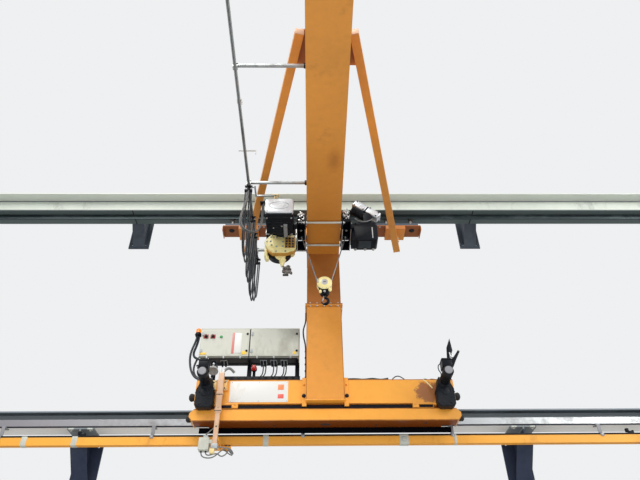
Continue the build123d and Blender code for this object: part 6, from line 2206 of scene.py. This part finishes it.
@dataclass
class PlainFrame(Assembly):
    """The frame pieces whose shape stays as it is, with their finishes."""

    def build(self) -> None:
        """Dresses each node, some with patches of painted light and shade."""
        # Painted light and shade on the upper beam: the lower flange's underside is darkened as painted
        # shade, the upper flange's underside is lightened as painted light, and a thin line of painted shadow
        # runs where the web meets the upper flange.
        under = Patch((2.5, -0.4, 3.517), (WIDE, 2.0, 0.022), "5c6868", 0.0, 12.0)
        above = Patch((2.5, -0.4, 3.852), (WIDE, 2.0, 0.012), "d6dad4", 0.0, 12.0)
        corner = Patch((2.5, -0.4, 3.833), (WIDE, 2.0, 0.016), "60686a", 0.0, 4.0)
        self.dress("upper_beam_paint", "upper_runway_beam", patches=[under, above, corner])
        # Painted light and shade on the lower beam: painted highlights on the top flange's front edge, the
        # web and the lower flange's underside, and a dark line of painted shadow along the lower flange's
        # front edge.
        painted_light_and_shade = [Patch((2.5, -0.450, 0.4925), (WIDE, 0.03, 0.020), "96a0a8", 0.0, 12.0),
               Patch((2.5, -0.350, 0.400), (WIDE, 0.03, 0.140), "868e92", 0.0, 5.0),
               Patch((2.5, -0.350, 0.298), (WIDE, 2.00, 0.012), "fcfefc", 0.0, 12.0),
               Patch((2.5, -0.452, 0.3095), (WIDE, 0.02, 0.012), "181e30", 0.0, 12.0)]
        self.dress("runway_steel", "lower_runway_beam", patches=painted_light_and_shade)
        self.dress("runway_steel", "end_stops")
        navy = Patch((2.5, -0.30, -0.05), (WIDE, 2.0, 0.42), "222e4c", 0.0, 8.0, 0.8)
        # Painted light: the brackets' plates next to the beam's underside are lightened like that underside.
        rim = Patch((2.5, -0.35, 0.300), (WIDE, 2.0, 0.050), "8c9498", 0.0, 8.0)
        self.dress("bracket_paint", "lower_brackets", patches=[navy, rim])
        self.dress("bracket_paint", "upper_brackets", "upper_carriage_channel")
        painted = Patch((2.5, -0.45, 3.479), (WIDE, 2.0, 0.20), "4a5456", 0.0, 12.0)
        # Painted reflection: the left part of the bright guide bar is darkened, where its reflection is
        # weaker.
        dim_reflection = Patch((-1.6, -0.45, 0.345), (4.6, 2.0, 0.30), "928c92", 0.0, 1.4, 0.9)
        self.dress("guide_steel", "guide_bars", patches=[dim_reflection, painted])
        self.dress("conductor_plastic", "conductor_line")
        self.dress("cap_grey", "conductor_hangers")
        smudge = Patch((CRANE_X + 0.096, -2.466, 2.507), (0.13, 0.26, 0.1), "96541e", 0.5, 1.5, 0.5)
        shaded = Patch((CRANE_X, -1.500, 2.507), (1.0, 1.9, 0.40), "b06a22", 0.1, 1.2, 0.55)
        self.dress("crane_paint_darkened_for_shade", "jib", patches=[shaded, smudge])
        self.dress("crane_paint_darkened_for_shade", "braces", "upper_neck", "trolley_stops", "post_lower")
        # Painted shade: the upper carriage plate is darkened where it lies under the beam.
        worn = Patch((CRANE_X, -0.4, 3.250), (20, 2.0, 0.20), "7a401c", 0.0, 5.0, 0.6)
        self.dress("crane_paint_painted_shade", "upper_carriage_plate", patches=[worn])
        shade = Patch((CRANE_X, -3.530, 3.050), (0.50, 0.40, 0.20), "96541e", 0.1, 6.0, 0.85)
        self.dress("crane_paint_darkened_for_shade", "brace_ties", patches=[shade])
        # The upper post in painted shade below the jib.
        self.dress("crane_paint_painted_shade", "post_upper")
        # Painted shade along the lower carriage's underside.
        underside_shade = Patch((CRANE_X, -0.64, 0.247), (WIDE, 2.0, 0.012), "7a3a08", 0.0, 12.0)
        self.dress("crane_paint", "lower_carriage", patches=[underside_shade])
        self.dress("crane_paint", "frame_fittings", "wheel_housings")
        self.dress("wheel_steel", "load_wheels", "guide_rollers")
        peeled = Patch((3.915, -0.75, 0.570), (0.20, 0.2, 0.17), "a86a38")
        self.dress("crane_paint", "crossbeam", patches=[peeled])


ASSEMBLIES = [PlainFrame, TravelDrives, CraneFrame, ControlCabinets, SignalDevices, CurrentCollector,
              TrolleyFrame, HoistUnit, HookBlock, FestoonRail, RunwayDetails]


@dataclass
class Studio:
    """The camera, the floor, the lamps and the pale surroundings.

    Attributes:
        eye: Where the camera stands.
        heading: Its turn about the upright, in degrees from +Y.
        pitch: Its tilt above the level, in degrees.
        roll: Its turn about its own axis, in degrees.
        lens: Focal length in millimetres on the sensor.
        sensor: Width of the sensor in millimetres.
        floor_z: Height of the floor below the runway.
        backdrop: Colour behind the part.
    """

    eye: Point = (2.595, -6.900, -2.298)
    heading: float = -1.10
    pitch: float = 39.60
    roll: float = -0.74
    lens: float = 32.96
    sensor: float = 36.0
    floor_z: float = -3.9
    backdrop: Colour = (0.86, 0.87, 0.88)

    def camera(self) -> None:
        """Sets the camera at the photograph's angle."""
        data = bpy.data.cameras.new("camera")
        data.lens = self.lens
        data.sensor_width = self.sensor
        data.clip_end = 200.0
        camera = bpy.data.objects.new("camera", data)
        turn = Matrix.Rotation(math.radians(self.heading), 4, "Z")
        turn @= Matrix.Rotation(math.radians(90 + self.pitch), 4, "X")
        turn @= Matrix.Rotation(math.radians(self.roll), 4, "Z")
        camera.matrix_world = Matrix.Translation(self.eye) @ turn
        bpy.context.collection.objects.link(camera)
        bpy.context.scene.camera = camera

    def lamp(self, name: str, place: Point, target: Point, size: float, watts: float, colour: Colour) -> None:
        """A square soft lamp that points at a place."""
        data = bpy.data.lights.new(name, "AREA")
        data.energy = watts
        data.size = size
        data.color = colour
        lamp = bpy.data.objects.new(name, data)
        way = Vector(target) - Vector(place)
        lamp.matrix_world = Matrix.Translation(place) @ way.to_track_quat("-Z", "Y").to_matrix().to_4x4()
        bpy.context.collection.objects.link(lamp)

    def floor(self) -> None:
        """A wide pale floor far below the runway."""
        bpy.ops.mesh.primitive_plane_add(size=60, location=(CRANE_X, -4.0, self.floor_z))
        floor = bpy.context.object
        floor.name = "floor"
        material = bpy.data.materials.new("pale_floor")
        material.use_nodes = True
        shader = material.node_tree.nodes["Principled BSDF"]
        shader.inputs["Base Color"].default_value = (0.74, 0.74, 0.73, 1.0)
        shader.inputs["Roughness"].default_value = 0.85
        floor.data.materials.append(material)

    def surroundings(self) -> None:
        """Even light from all round, behind a pale background."""
        world = bpy.data.worlds.new("surroundings")
        bpy.context.scene.world = world
        world.use_nodes = True
        world.node_tree.nodes.clear()
        nodes = Nodes(world.node_tree)
        seen = nodes.add("Background", {"Color": (*self.backdrop, 1.0)})
        light = nodes.add("Background", {"Color": (0.90, 0.95, 1.0, 1.0), "Strength": 0.42})
        path = nodes.add("LightPath")
        rays = path.outputs["Is Camera Ray"]
        for name in ("Is Glossy Ray", "Is Transmission Ray"):
            rays = nodes.math("MAXIMUM", rays, path.outputs[name])
        mix = nodes.add("MixShader", {0: rays, 1: light.outputs[0], 2: seen.outputs[0]})
        nodes.add("OutputWorld", {"Surface": mix.outputs[0]})

    def build(self) -> None:
        """Sets up everything but the camera."""
        self.floor()
        self.surroundings()
        self.lamp("roof_light", (-1.0, -7.0, 9.5), (CRANE_X, -0.6, 1.2), 7.0, 900.0, (1.0, 0.97, 0.92))
        self.lamp("side_light", (10.5, -6.5, 5.0), (CRANE_X, -0.8, 1.8), 5.0, 420.0, (1.0, 0.98, 0.95))
        self.lamp("floor_light", (2.0, -9.0, -3.4), (CRANE_X, -1.6, 2.0), 6.0, 260.0, (0.98, 0.98, 1.0))
        view = bpy.context.scene.view_settings
        view.view_transform = "Standard"


def main() -> None:
    """Builds the looks around the frame."""
    logging.basicConfig(level=logging.INFO, format="%(message)s")
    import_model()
    studio = Studio()
    studio.camera()
    bench = Bench()
    palette = Palette()
    FestoonCable(bench, palette).build()
    for build in ASSEMBLIES:
        build(bench, palette).build()
    studio.build()


if __name__ == "__main__":
    main()
